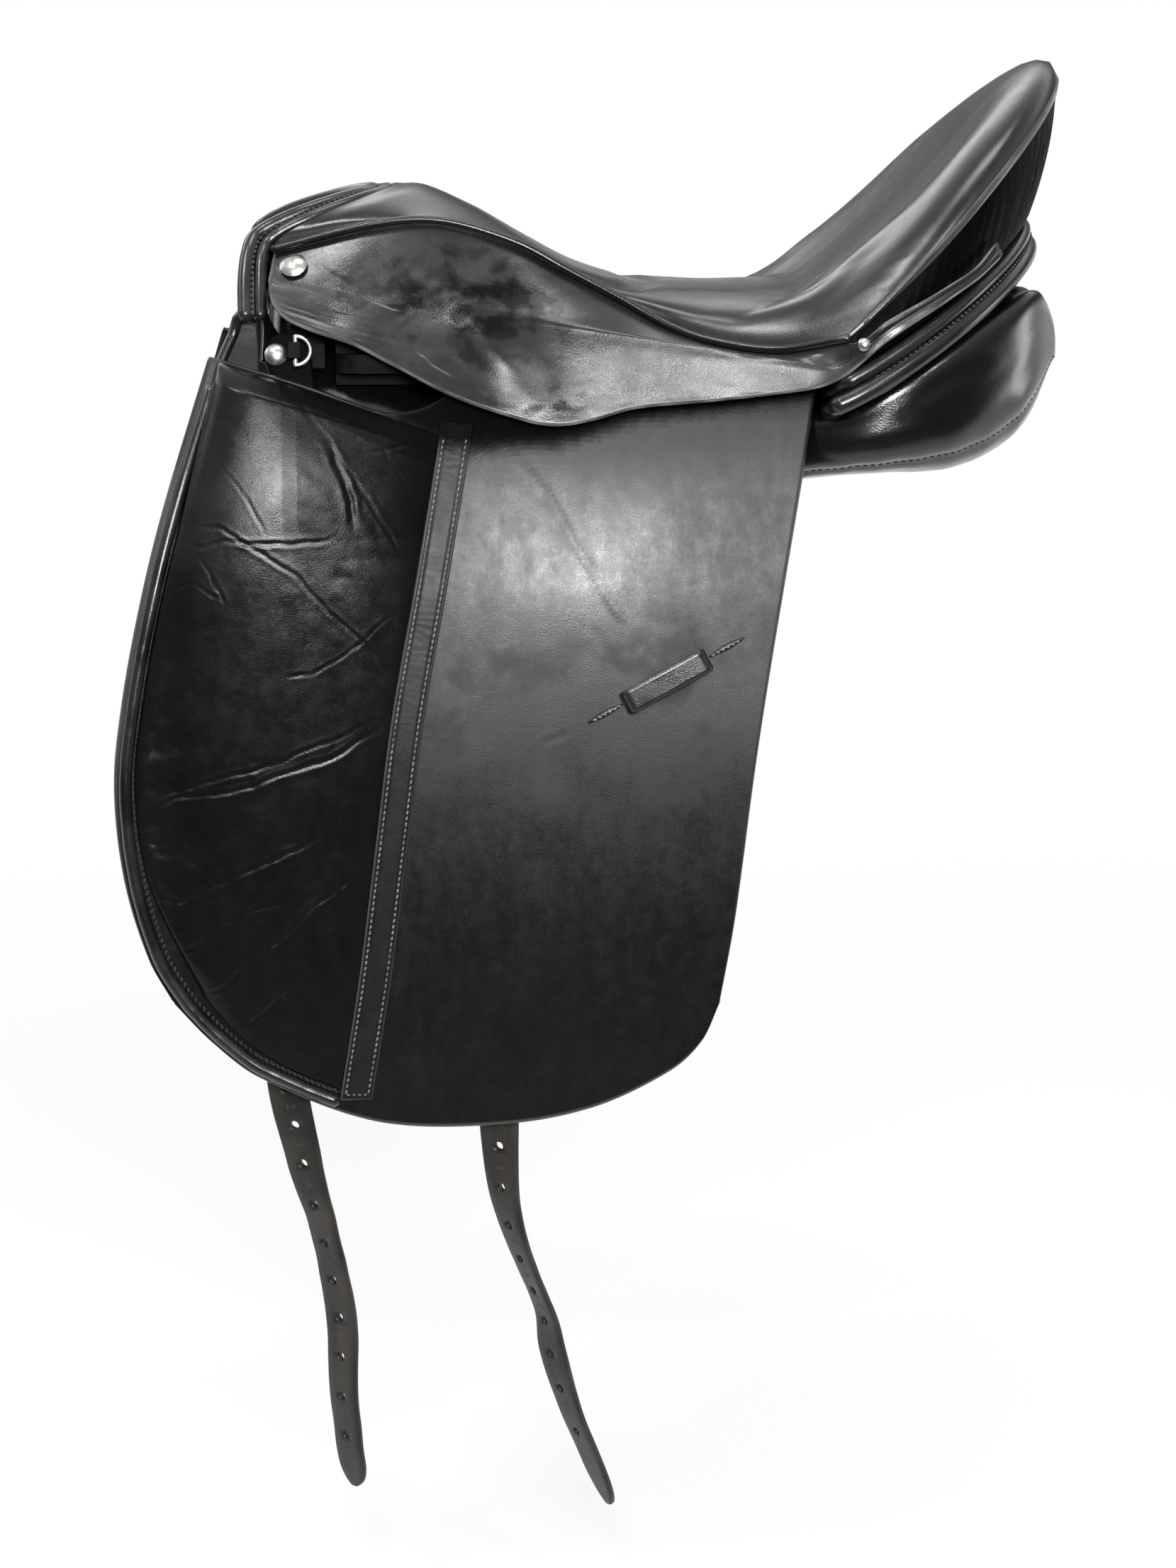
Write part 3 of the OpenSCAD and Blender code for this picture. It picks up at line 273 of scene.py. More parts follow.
def seat_at(u, a):
    """Place on the seat: u along it, a across it in degrees."""
    c, e = curve(CENTRE_LINE, u), curve(EDGE_LINE, u)
    ca = np.maximum(np.cos(np.radians(a)), 0)
    sa = np.sin(np.radians(a))
    r = curve(ROUNDNESS, u)[..., 0]
    pad_u, pad_length, pad_rise = 0.83, 0.17, 29
    pad = pad_rise * np.sin(np.pi * np.clip((1 - u) / pad_length, 0, 1) ** 0.6) * ca ** 0.9
    pad = np.where(u <= pad_u, 0, pad)
    z = lerp(e[..., 2], c[..., 1], ca ** r) + pad * (1 - (1 - ca) ** 3.5)
    return points(lerp(e[..., 0], c[..., 0], ca), e[..., 1] * sa, z)


def base_at(a, out=0.0):
    """Place on the foot of the cantle."""
    ca, sa = np.maximum(np.cos(np.radians(a)), 0), np.sin(np.radians(a))
    end_x, back_x, half_w, end_z, back_z = 130, 254, 146, 28, 107
    p = points(lerp(end_x, back_x, ca), half_w * sa, lerp(end_z, back_z, ca ** 1.15))
    return p + points(ca, sa, 0) * out


def skirt_fold(x):
    """Place on the line that a skirt lifts about."""
    front_x, length = -160, 300
    t = (np.asarray(x, float) - front_x) / length
    return points(x, lerp(82.5, 146, t), lerp(76, 32, t))


WELT_ROWS = [[e[0], e[1] + 0.3, e[2] - 3.6] for e in curve(EDGE_LINE, np.linspace(0, 1, 60))]


def on_side(p, k):
    """The near side's points are drawn with y as a distance from the middle."""
    return p * np.array([1, k, 1])


# Materials

def node(tree, kind, **values):
    n = tree.nodes.new(kind)
    for name, value in values.items():
        setattr(n, name, value)
    return n


def put(n, **values):
    for name, value in values.items():
        n.inputs[name.replace("_", " ")].default_value = value
    return n


def link(source, target):
    target.id_data.links.new(source, target)


def material(name, rough, specular=0.5, metallic=0.0, coat=0.0, coat_rough=0.3, sheen=0.0):
    m = bpy.data.materials.new(name)
    m.use_nodes = True
    tree = m.node_tree
    shader = tree.nodes["Principled BSDF"]
    put(shader, Roughness=rough, Metallic=metallic, Specular_IOR_Level=specular, Coat_Weight=coat,
        Coat_Roughness=coat_rough, Sheen_Weight=sheen)
    return m, tree, shader


EVEN = (1, 1, 1)


def mapped(tree, scale):
    coord = node(tree, "ShaderNodeTexCoord")
    place = put(node(tree, "ShaderNodeMapping"), Scale=scale)
    link(coord.outputs["Object"], place.inputs["Vector"])
    return place.outputs["Vector"]


def noise_of(tree, scale, size=1.0, detail=4.0, distortion=0.0):
    n = put(node(tree, "ShaderNodeTexNoise"), Scale=size, Detail=detail, Distortion=distortion)
    link(mapped(tree, scale), n.inputs["Vector"])
    return n.outputs["Fac"]


def ranged(value, a, b, low, high):
    n = put(node(value.id_data, "ShaderNodeMapRange", clamp=True), From_Min=a, From_Max=b, To_Min=low, To_Max=high)
    link(value, n.inputs["Value"])
    return n.outputs["Result"]


def calc(what, a, b):
    n = node(a.id_data, "ShaderNodeMath", operation=what, use_clamp=True)
    for i, v in enumerate((a, b)):
        if isinstance(v, (int, float)):
            n.inputs[i].default_value = v
        else:
            link(v, n.inputs[i])
    return n.outputs[0]


def blended(fac, a, b):
    n = node(fac.id_data, "ShaderNodeMix", data_type="RGBA")
    link(fac, n.inputs["Factor"])
    for i, v in ((6, a), (7, b)):
        if isinstance(v, tuple):
            n.inputs[i].default_value = (*v, 1)
        else:
            link(v, n.inputs[i])
    return n.outputs[2]


def attribute(tree, name):
    return node(tree, "ShaderNodeAttribute", attribute_name=name).outputs["Fac"]


def bumped(shader, rows):
    """Rows of height, strength and distance in metres, one bump on the other."""
    last = None
    for height, strength, distance in rows:
        n = put(node(shader.id_data, "ShaderNodeBump"), Strength=strength, Distance=distance)
        link(height, n.inputs["Height"])
        if last is not None:
            link(last, n.inputs["Normal"])
        last = n.outputs["Normal"]
    link(last, shader.inputs["Normal"])


def waves(tree, direction, size, streak=EVEN, **values):
    n = put(node(tree, "ShaderNodeTexWave", bands_direction=direction), Scale=size, **values)
    link(mapped(tree, streak), n.inputs["Vector"])
    return n.outputs["Fac"]


def pores(tree, size):
    n = put(node(tree, "ShaderNodeTexVoronoi", feature="DISTANCE_TO_EDGE"), Scale=size)
    link(mapped(tree, EVEN), n.inputs["Vector"])
    return ranged(n.outputs["Distance"], 0.0, 0.22, 0.0, 1.0)


def leather(name, dark, worn_and_sheen, rough, streak=EVEN, specular=0.4, coat=0.0, fold=0.25, rubbed_flat=0.62,
            speckle=0.0):
    """Leather with grain, brushed streaks and scuffs. Its points hold worn places, which some pieces also use for
    painted sheen; blotched and matt places, the matt ones partly painted shade; and cut edges, which some pieces also
    use for painted highlight lines.
    """
    m, tree, shader = material(name, rough, specular, coat=coat, coat_rough=0.22)
    patches = noise_of(tree, EVEN, 13, 4, 0.35)
    blotches = noise_of(tree, (0.7, 1, 1), 42, 8, 0.5)
    fine = noise_of(tree, EVEN, 140, 5)
    streaks = noise_of(tree, streak, 90, 4, 0.3)
    wear, dull, matte, edge = (attribute(tree, n) for n in ("wear", "dull", "matte", "edge"))
    # Worn places lighten the colour. On the skirt, flap and block these values also hold painted sheen and highlight.
    rubbed_and_sheen = calc("MULTIPLY", wear, ranged(streaks, 0.3, 0.7, 0.6, 1.0))
    tone = calc("ADD", rubbed_and_sheen, ranged(patches, 0.45, 0.75, 0.0, 0.1))
    colour = blended(tone, dark, worn_and_sheen)
    spots = calc("MULTIPLY", dull, ranged(blotches, 0.44, 0.56, 0.0, 1.0))
    colour = blended(spots, colour, tuple(0.75 * c for c in dark))
    # Cut edges are lighter. On the welts and strips these values also hold painted highlight lines, and under the skirt
    # they are left out for painted shade.
    colour = blended(edge, colour, tuple(min(1, 3.2 * c + 0.05) for c in worn_and_sheen))
    link(colour, shader.inputs["Base Color"])
    r = ranged(streaks, 0.25, 0.75, rough - 0.04, rough + 0.04)
    r = calc("ADD", r, ranged(fine, 0.35, 0.7, -0.02, 0.04))
    r = calc("ADD", r, ranged(rubbed_and_sheen, 0.0, 1.0, -0.04, 0.04))
    if speckle:
        specks = noise_of(tree, (1, 1, 0.7), 650, 2)
        r = calc("ADD", r, ranged(specks, 0.3, 0.7, -speckle, speckle))
    flat = calc("ADD", calc("MULTIPLY", spots, 0.7), matte)
    r = calc("ADD", r, ranged(flat, 0.0, 1.0, 0.0, rubbed_flat - rough))
    link(r, shader.inputs["Roughness"])
    bumped(shader, [(pores(tree, 850), 0.1, 0.00025), (fine, fold, 0.0012), (streaks, 0.04, 0.0008)])
    return m


def leathers(name, glosses, worn_and_sheen, rough, streak, coat_share=0.0, **values):
    """One black leather in steps from glossy to dull."""
    return [leather("%s %d" % (name, i), BLACK, worn_and_sheen, rough, streak, gloss, coat_share * gloss, **values)
            for i, gloss in enumerate(glosses)]


def metal(name, colour, rough, scratch=0.12):
    m, tree, shader = material(name, rough, metallic=1.0)
    stains = noise_of(tree, EVEN, 260, 6, 0.4)
    lines = noise_of(tree, (1, 1, 14), 420, 3)
    tarnished = tuple(0.55 * c for c in colour)
    link(blended(ranged(stains, 0.4, 0.75, 0.0, 0.7), colour, tarnished), shader.inputs["Base Color"])
    link(ranged(lines, 0.3, 0.75, rough - 0.06, rough + 0.16), shader.inputs["Roughness"])
    bumped(shader, [(lines, scratch, 0.0002), (stains, 0.1, 0.0003)])
    return m


def painted(name, colour):
    """Black stoved paint with dust and rubbed places. Its very low gloss is painted shade for the parts that sit under
    the skirts.
    """
    m, tree, shader = material(name, 0.5, 0.07)
    dust = noise_of(tree, EVEN, 180, 6, 0.3)
    dusty = tuple(3 * c for c in colour)
    link(blended(ranged(dust, 0.5, 0.8, 0, 1), colour, dusty), shader.inputs["Base Color"])
    link(ranged(dust, 0.3, 0.7, 0.42, 0.6), shader.inputs["Roughness"])
    bumped(shader, [(dust, 0.15, 0.0003)])
    return m


def wood(name):
    m, tree, shader = material(name, 0.55)
    rings = waves(tree, "Z", 160, (0.25, 1, 1), Distortion=5, Detail=3)
    link(blended(rings, (0.018, 0.012, 0.008), (0.035, 0.024, 0.016)), shader.inputs["Base Color"])
    bumped(shader, [(rings, 0.2, 0.0004)])
    return m


def woven(name, dark, light, pitch):
    m, tree, shader = material(name, 0.85, 0.2, sheen=0.2)
    cross = calc("MULTIPLY", *(waves(tree, way, pitch, Distortion=0.4) for way in ("X", "Z")))
    link(blended(cross, dark, light), shader.inputs["Base Color"])
    bumped(shader, [(cross, 0.5, 0.0006)])
    return m


def thread(name, dark, light):
    m, tree, shader = material(name, 0.7, 0.3, sheen=0.3)
    twist = waves(tree, "DIAGONAL", 900, Distortion=0.6)
    soil = noise_of(tree, EVEN, 70, 3)
    link(blended(ranged(soil, 0.35, 0.7, 0, 1), dark, light), shader.inputs["Base Color"])
    bumped(shader, [(twist, 0.5, 0.0003)])
    return m


BLACK = (0.003, 0.003, 0.0031)
SEAT = leather("seat leather", BLACK, (0.014, 0.014, 0.014), 0.27, (0.12, 1, 1), 0.5, 0.3, fold=0.04)
# Glossy leather and its duller copies. On the flaps, blocks and strips the copies are painted shade under the skirt's
# edge; on the skirts they are stains. The skirt's and flap's lighter colours serve both for wear and for painted sheen.
SKIRT_GLOSS = (0.5, 0.36, 0.24, 0.14, 0.07)
FLAP_GLOSS = (0.5, 0.4, 0.31, 0.24, 0.18, 0.13, 0.085, 0.05, 0.02)
BLOCK_GLOSS = (0.3, 0.2, 0.12, 0.06, 0.02)
SKIRT, *SKIRT_STAINED = leathers("skirt leather", SKIRT_GLOSS, (0.075, 0.074, 0.071), 0.27, (0.5, 1, 1), 0.5, fold=0.06,
                                 rubbed_flat=0.15, speckle=0.02)
FLAP, *FLAP_SHADED = leathers("flap leather", FLAP_GLOSS, (0.024, 0.024, 0.0235), 0.28, (1, 1, 0.35), fold=0.05,
                              rubbed_flat=0.85, speckle=0.02)
BLOCK, *BLOCK_SHADED = leathers("block leather", BLOCK_GLOSS, (0.018, 0.018, 0.0175), 0.26, (1, 1, 0.5), fold=0.1)
STRIP, *STRIP_SHADED = leathers("strip leather", BLOCK_GLOSS, (0.022, 0.022, 0.021), 0.42, (1, 1, 0.5), fold=0.1)
PANEL = leather("panel leather", BLACK, (0.014, 0.0138, 0.0135), 0.2, (0.6, 1, 1), 0.5, 0.4, fold=0.05)
# Black gusset leather, darkened further and nearly without gloss as painted shade.
SHADED_GUSSET = leather("gusset leather", (0.0015, 0.0015, 0.0015), (0.004, 0.004, 0.004), 0.5, (1, 1, 0.2), 0.03, fold=0.05)
TRIM = leather("trim leather", BLACK, (0.026, 0.026, 0.026), 0.23, (0.3, 1, 1), 0.5, 0.3, fold=0.04)
STRAP = leather("strap leather", (0.008, 0.0068, 0.0058), (0.045, 0.038, 0.03), 0.46, (1, 1, 0.3), 0.4, fold=0.3)
UNDER = leather("under leather", (0.005, 0.0042, 0.0036), (0.022, 0.018, 0.014), 0.5, EVEN, 0.25, fold=0.2)
PALE_THREAD = thread("pale thread", (0.1, 0.096, 0.09), (0.26, 0.25, 0.235))
DARK_THREAD = thread("dark thread", (0.006, 0.006, 0.006), (0.022, 0.021, 0.019))
BROWN_THREAD = thread("brown thread", (0.012, 0.008, 0.006), (0.032, 0.022, 0.016))
NICKEL = metal("nickel", (0.62, 0.61, 0.59), 0.26)
# Black paint whose very low gloss is painted shade.
SHADED_STEEL = painted("painted steel", (0.004, 0.004, 0.0042))
SPRING = metal("spring steel", (0.2, 0.21, 0.23), 0.4)
WOOD = wood("tree wood")
WEB = woven("webbing", (0.06, 0.045, 0.03), (0.16, 0.13, 0.09), 420)
MARK = leather("stamped mark", (0.05, 0.045, 0.04), (0.13, 0.12, 0.1), 0.6)


# Mesh making

def mesh_of(name, verts, faces):
    mesh = bpy.data.meshes.new(name)
    mesh.from_pydata((np.asarray(verts, float) * MM).tolist(), [], [list(map(int, f)) for f in faces])
    return mesh


def outward(mesh):
    """Turns a mesh's faces to the outside."""
    bm = bmesh.new()
    bm.from_mesh(mesh)
    bmesh.ops.recalc_face_normals(bm, faces=bm.faces)
    bm.to_mesh(mesh)
    bm.free()


def shown(name, data):
    """A new object in the scene."""
    obj = bpy.data.objects.new(name, data)
    scene.collection.objects.link(obj)
    return obj


def evaluated(obj):
    return obj.evaluated_get(bpy.context.evaluated_depsgraph_get())


def piece(name, verts, faces, mat, replaces=(), body="saddle", slot="black_leather", **point_values):
    """A named piece in mm. Its point values cover its first points, and the others get 0."""
    mesh = mesh_of(name, verts, faces)
    mesh.materials.append(mat)
    for key, values in point_values.items():
        layer = mesh.attributes.new(key, "FLOAT", "POINT")
        full = np.zeros(len(verts), np.float32)
        full[:np.size(values)] = np.ravel(values)
        layer.data.foreach_set("value", full)
    return add(shown(name, mesh), body, replaces)


def add(obj, body, replaces=()):
    outward(obj.data)
    obj.data.shade_smooth()
    if body:
        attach(obj, body)
    if replaces:
        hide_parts(*replaces)
    return obj


def graded(obj, values, mats):
    """Gives the faces duller leather step by step, as the points' values go from 0 to 1. This paints the shadow under
    the skirt's edge on the flaps, blocks and strips, and the stains on the skirts.
    """
    full = np.zeros(len(obj.data.vertices))
    full[:values.size] = values.ravel()
    for m in mats:
        obj.data.materials.append(m)
    for face in obj.data.polygons:
        face.material_index = int(round(full[list(face.vertices)].mean() * len(mats)))


def grid_faces(n, m, start=0):
    i, j = grid(np.arange(n - 1), np.arange(m - 1))
    a = start + i * m + j
    return np.stack([a, a + m, a + m + 1, a + 1], -1).reshape(-1, 4).tolist()


def loop_faces(n, m):
    """Faces of n closed rings of m points."""
    i, j = grid(np.arange(n - 1), np.arange(m))
    b = i * m + (j + 1) % m
    return np.stack([i * m + j, b, b + m, (i + 1) * m + j], -1).reshape(-1, 4).tolist()


def ring_faces(rows):
    """Faces between rows of points that each go round."""
    return [face for low, high in zip(rows, rows[1:])
            for face in np.stack([low, np.roll(low, -1), np.roll(high, -1), high], -1).tolist()]


def border(n, m):
    """Places of the points round a grid's edge, in order."""
    return np.concatenate([
        np.arange(m), np.arange(1, n) * m + m - 1, (n - 1) * m + np.arange(m - 2, -1, -1), np.arange(n - 2, 0, -1) * m,
    ])


def solid(outer, inner, bulge=0.5, steps=2):
    """Closed sheet between two grids, with a rounded rim. Returns points, faces and the rim's share of each point."""
    n, m = outer.shape[:2]
    ring = border(n, m)
    a, b = outer.reshape(-1, 3), inner.reshape(-1, 3)
    i, j = ring // m, ring % m
    inward = np.clip(i, 1, n - 2) * m + np.clip(j, 1, m - 2)
    away = unit(a[ring] - a[inward])
    half = np.linalg.norm(a[ring] - b[ring], axis=1, keepdims=True) / 2
    verts, faces = [a, b], grid_faces(n, m) + [f[::-1] for f in grid_faces(n, m, n * m)]
    rows = [ring]
    for k in range(1, steps + 1):
        t = k / (steps + 1)
        rows.append(2 * n * m + (k - 1) * len(ring) + np.arange(len(ring)))
        verts.append(lerp(a[ring], b[ring], t) + away * half * bulge * math.sin(math.pi * t))
    rows.append(ring + n * m)
    faces += ring_faces(rows)
    verts = np.concatenate(verts)
    edge = np.zeros(len(verts))
    edge[2 * n * m:] = 1
    edge[ring] = 0.45
    return verts, faces, edge


def support(n, near=0.012):
    """Places from 0 to 1 with one more close to either end, which keeps an edge crisp."""
    return np.concatenate([[0, near], np.linspace(near, 1 - near, n)[1:-1], [1 - near, 1]])


def grid(s, t):
    return np.meshgrid(s, t, indexing="ij")


def normals(p):
    return unit(np.cross(np.gradient(p, axis=0), np.gradient(p, axis=1)))


def tube(path, radius, sides=14, up=(0, 0, 1), squash=1.0):
    """Tube along a path, with rounded ends."""
    p = np.asarray(path, float)
    r = np.broadcast_to(np.asarray(radius, float), (len(p),)).copy()
    d = unit(np.gradient(p, axis=0))
    first, last = p[0] - d[0] * r[0] * 0.7, p[-1] + d[-1] * r[-1] * 0.7
    p = np.concatenate([[first], p, [last]])
    d = np.concatenate([[d[0]], d, [d[-1]]])
    r = np.concatenate([[0.55 * r[0]], r, [0.55 * r[-1]]])
    side = unit(np.cross(d, np.asarray(up, float)))
    top = np.cross(side, d)
    a = np.linspace(0, 2 * np.pi, sides, endpoint=False)
    ring = side[:, None] * np.cos(a)[:, None] + squash * top[:, None] * np.sin(a)[:, None]
    verts = (p[:, None] + ring * r[:, None, None]).reshape(-1, 3)
    n = len(p)
    caps = [list(range(sides))[::-1], list(range((n - 1) * sides, n * sides))]
    return verts, loop_faces(n, sides) + caps


def along(path, places):
    """Points at lengths along a path, and the directions there."""
    p = np.asarray(path, float)
    length = np.concatenate([[0], np.cumsum(np.linalg.norm(np.diff(p, axis=0), axis=1))])
    back, at, on = (np.stack([np.interp(np.asarray(places) + step, length, p[:, i]) for i in range(3)], -1)
                    for step in (-0.4, 0, 0.4))
    return at, unit(on - back), length[-1]


# Rings of one stitch: place along it, width and lift
STITCH_RINGS = ((-0.5, 0.35, -0.25), (-0.36, 0.9, 0.1), (0, 1.05, 0.35), (0.36, 0.9, 0.1), (0.5, 0.35, -0.25))


def stitches(path, out, length=2.6, pitch=3.6, thick=0.55, slant=0.14):
    """A row of stitches along a path, lying on the surface that faces out."""
    total = along(path, [0])[2]
    places = np.arange(pitch / 2, total - pitch / 2, pitch)
    at, d, _ = along(path, places)
    if callable(out):
        o = unit(out(at))
    else:
        o = unit(np.broadcast_to(np.asarray(out, float), at.shape))
    side = unit(np.cross(d, o))
    d = unit(d + slant * side)
    side = unit(np.cross(d, o))
    n, sides = len(STITCH_RINGS), 6
    a = np.linspace(0, 2 * np.pi, sides, endpoint=False)
    caps = [list(range(sides))[::-1], list(range((n - 1) * sides, n * sides))]
    faces = loop_faces(n, sides) + caps
    parts = []
    for p, dd, oo, ss in zip(at, d, o, side):
        rows = []
        for place, width, lift in STITCH_RINGS:
            ring = ss * np.cos(a)[:, None] * width * thick + oo * (np.sin(a)[:, None] * width * 0.8 + lift) * thick
            rows.append(p + dd * place * length + ring)
        parts.append((np.concatenate(rows), faces))
    return joined(parts)


def joined(parts):
    """Several forms' points and faces as one."""
    verts, faces, start = [], [], 0
    for v, f in parts:
        verts.append(v)
        faces += [[i + start for i in face] for face in f]
        start += len(v)
    return np.concatenate(verts), faces


def dressed(name, source, body, mat, levels=2, bevel=0.0):
    """A CAD node's form as a soft piece: its edges eased and its faces subdivided."""
    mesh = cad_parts[source].data.copy()
    mesh.name = name
    bm = bmesh.new()
    bm.from_mesh(mesh)
    bmesh.ops.remove_doubles(bm, verts=bm.verts, dist=2e-5)
    bmesh.ops.join_triangles(bm, faces=bm.faces, angle_face_threshold=0.7, angle_shape_threshold=1.2)
    if bevel:
        sharp = [e for e in bm.edges if len(e.link_faces) == 2 and e.calc_face_angle() > 0.6]
        bmesh.ops.bevel(bm, geom=sharp, offset=bevel, segments=2, affect="EDGES", profile=0.6)
    bm.to_mesh(mesh)
    bm.free()
    obj = shown(name, mesh)
    obj.modifiers.new("soft", "SUBSURF").levels = levels
    done = bpy.data.meshes.new_from_object(evaluated(obj))
    obj.modifiers.clear()
    obj.data = done
    obj.data.materials.clear()
    obj.data.materials.append(mat)
    return add(obj, body, (source,))


SWELL_STEPS = 20


def swelled(verts, faces, held, pressure, cap):
    """How far each point moves when the closed form is blown up as cloth, with the held points fixed."""
    obj = shown("swell", mesh_of("swell", verts, faces))
    outward(obj.data)
    group = obj.vertex_groups.new(name="held")
    group.add([int(i) for i in held], 1.0, "REPLACE")
    cloth = obj.modifiers.new("swell", "CLOTH")
    s = cloth.settings
    s.quality = 5
    s.mass = 0.3
    s.tension_stiffness = s.compression_stiffness = s.shear_stiffness = 12
    s.bending_stiffness = 2
    s.use_pressure = True
    s.uniform_pressure_force = pressure
    s.vertex_group_mass = "held"
    s.effector_weights.gravity = 0
    for step in range(1, SWELL_STEPS + 1):
        scene.frame_set(step)
    done = evaluated(obj).to_mesh()
    moved = np.empty(len(verts) * 3)
    done.vertices.foreach_get("co", moved)
    moved = moved.reshape(-1, 3) / MM - verts
    scene.frame_set(1)
    bpy.data.objects.remove(obj)
    far = np.linalg.norm(moved, axis=1, keepdims=True)
    return moved * np.minimum(1, cap / np.maximum(far, 1e-6))


def puffed(top, low, pressure, cap):
    """How a grid's points move when the form between two grids is blown up, with its rim and its underside held."""
    n, m = top.shape[:2]
    verts, faces, _ = solid(top, low, 0)
    held = np.concatenate([border(n, m), np.arange(n * m, len(verts))])
    return swelled(verts, faces, held, pressure, cap)[:n * m].reshape(n, m, 3)


def patchy(v, level, swing, axis, size, seed):
    """Uneven wear of points, read along one axis and the height."""
    return level + swing * noise(v[:, axis] / size, v[:, 2] / size, seed)


def enlarged(values, n, m):
    """A coarse grid of values read at n by m places."""
    a, b = values.shape[:2]
    i, j = np.linspace(0, a - 1, n), np.linspace(0, b - 1, m)
    i0, j0 = np.minimum(i.astype(int), a - 2), np.minimum(j.astype(int), b - 2)
    u, v = (i - i0)[:, None, None], (j - j0)[None, :, None]
    low = lerp(values[i0][:, j0], values[i0][:, j0 + 1], v)
    high = lerp(values[i0 + 1][:, j0], values[i0 + 1][:, j0 + 1], v)
    return lerp(low, high, u)


# Seat

def make_seat():
    u, a = grid(support(150, 0.004), np.concatenate([[-90, -89.4], np.linspace(-88, 88, 118), [89.4, 90]]))
    n, m = u.shape
    p = seat_at(u, a)
    out = normals(p)
    out = out * np.sign(out[n // 2, m // 2, 2])
    coarse = seat_at(*grid(np.linspace(0, 1, 40), np.linspace(-90, 90, 32)))
    p = p + enlarged(puffed(coarse, coarse - np.array([0, 0, 8]), 3.0, 1.6), n, m)
    x, y = p[..., 0], p[..., 1]
    rim = 90 - np.abs(a)
    rear = smooth(90, 170, x)
    band = rear * smooth(0, 5, rim) * smooth(26, 12, rim)
    lines = np.sin(rim * 1.15 + 2.2 * cloud(x / 40, y / 40, 3)) * (0.5 + 0.5 * cloud(x / 18, rim / 4, 5))
    height = 0.35 * band * lines + 0.14 * cloud(x / 46, y / 30, 11) + 0.05 * cloud(x / 30, y / 5, 13)
    height = height * smooth(0, 4, rim) * smooth(0, 0.03, u) * smooth(1, 0.985, u)
    p = p + out * height[..., None]
    inner = p - points(0, 0, 3.0 + 3.5 * smooth(0, 25, rim))
    verts, faces, edge = solid(p, inner, 0.5, 2)
    wear = 0.55 * smooth(0.02, 0.35, cloud(x / 70, y / 22, 17)) * smooth(-60, 40, x) + 0.25 * band
    obj = piece("seat", verts, faces, SEAT, ("seat_cover", "seat_foam"), slot="seat_leather", wear=wear,
                edge=0.5 * edge)
    turn = np.linspace(-86, 86, 120)
    path = seat_at(np.ones(120), turn) - np.array([0, 0, 1.9])
    v, f = tube(path + base_at(turn, -0.1) - base_at(turn), 1.1, 10)
    piece("seat_bead", v, f, TRIM, edge=0.55 * patchy(v, 0.5, 0.5, 1, 9, 4))


def make_welts():
    for side, k in SIDES:
        e = curve(EDGE_LINE, np.linspace(0, 1, 150))
        path = points(e[:, 0], k * (e[:, 1] + 2.7), e[:, 2] - 1.6)
        sides = 14
        v, f = tube(path, 2.3, sides)
        middle = along(path, along(path, [0])[2] * np.linspace(0, 1, len(v) // sides))[0]
        away = unit(v - np.repeat(middle, sides, axis=0))
        # Painted highlight: a thin lighter line along the welt's upper outer side.
        lit = smooth(0.86, 0.99, away @ np.array([0, 0.85 * k, 0.53]))
        lit = lit * (0.65 + 0.35 * noise(v[:, 0] / 7, v[:, 0] * 0, 21))
        piece("welt_" + side, v, f, TRIM, ("seat_welt_" + side,), edge=0.6 * lit)


def make_rolls():
    t = np.linspace(-1, 1, 180)
    half = curve(POMMEL_HALF, np.abs(t))
    path = points(half[:, 0], np.sign(t) * half[:, 1], half[:, 2])
    v, f = tube(path, 3.5, 14, (1, 0, 0.4))
    piece("pommel_edge", v, f, TRIM, ("pommel_roll",), wear=patchy(v, 0.5, 0.5, 1, 11, 2))
    lead = half + curve(ROLL_LEAD, np.abs(t))
    front = points(lead[:, 0], np.sign(t) * lead[:, 1], lead[:, 2])
    v, f = tube(front, 4.2, 14, (1, 0, 0.4))
    piece("panel_front_edge", v, f, TRIM, ("panel_front_roll",), slot="panel_leather",
          wear=patchy(v, 0.4, 0.4, 1, 11, 6))
    between = lerp(path, front, 0.47)
    away = unit(points(-0.2, np.sign(t) * np.minimum(1, np.abs(t) * 1.6), 1.2 - np.abs(t)))
    seam = between + away * 2.7

    def facing(p):
        return points(-0.2, p[:, 1] / 50, 1.0 - np.abs(p[:, 1]) / 100)
    piece("pommel_seam", *stitches(seam, facing, 2.4, 3.4, 0.7), DARK_THREAD)


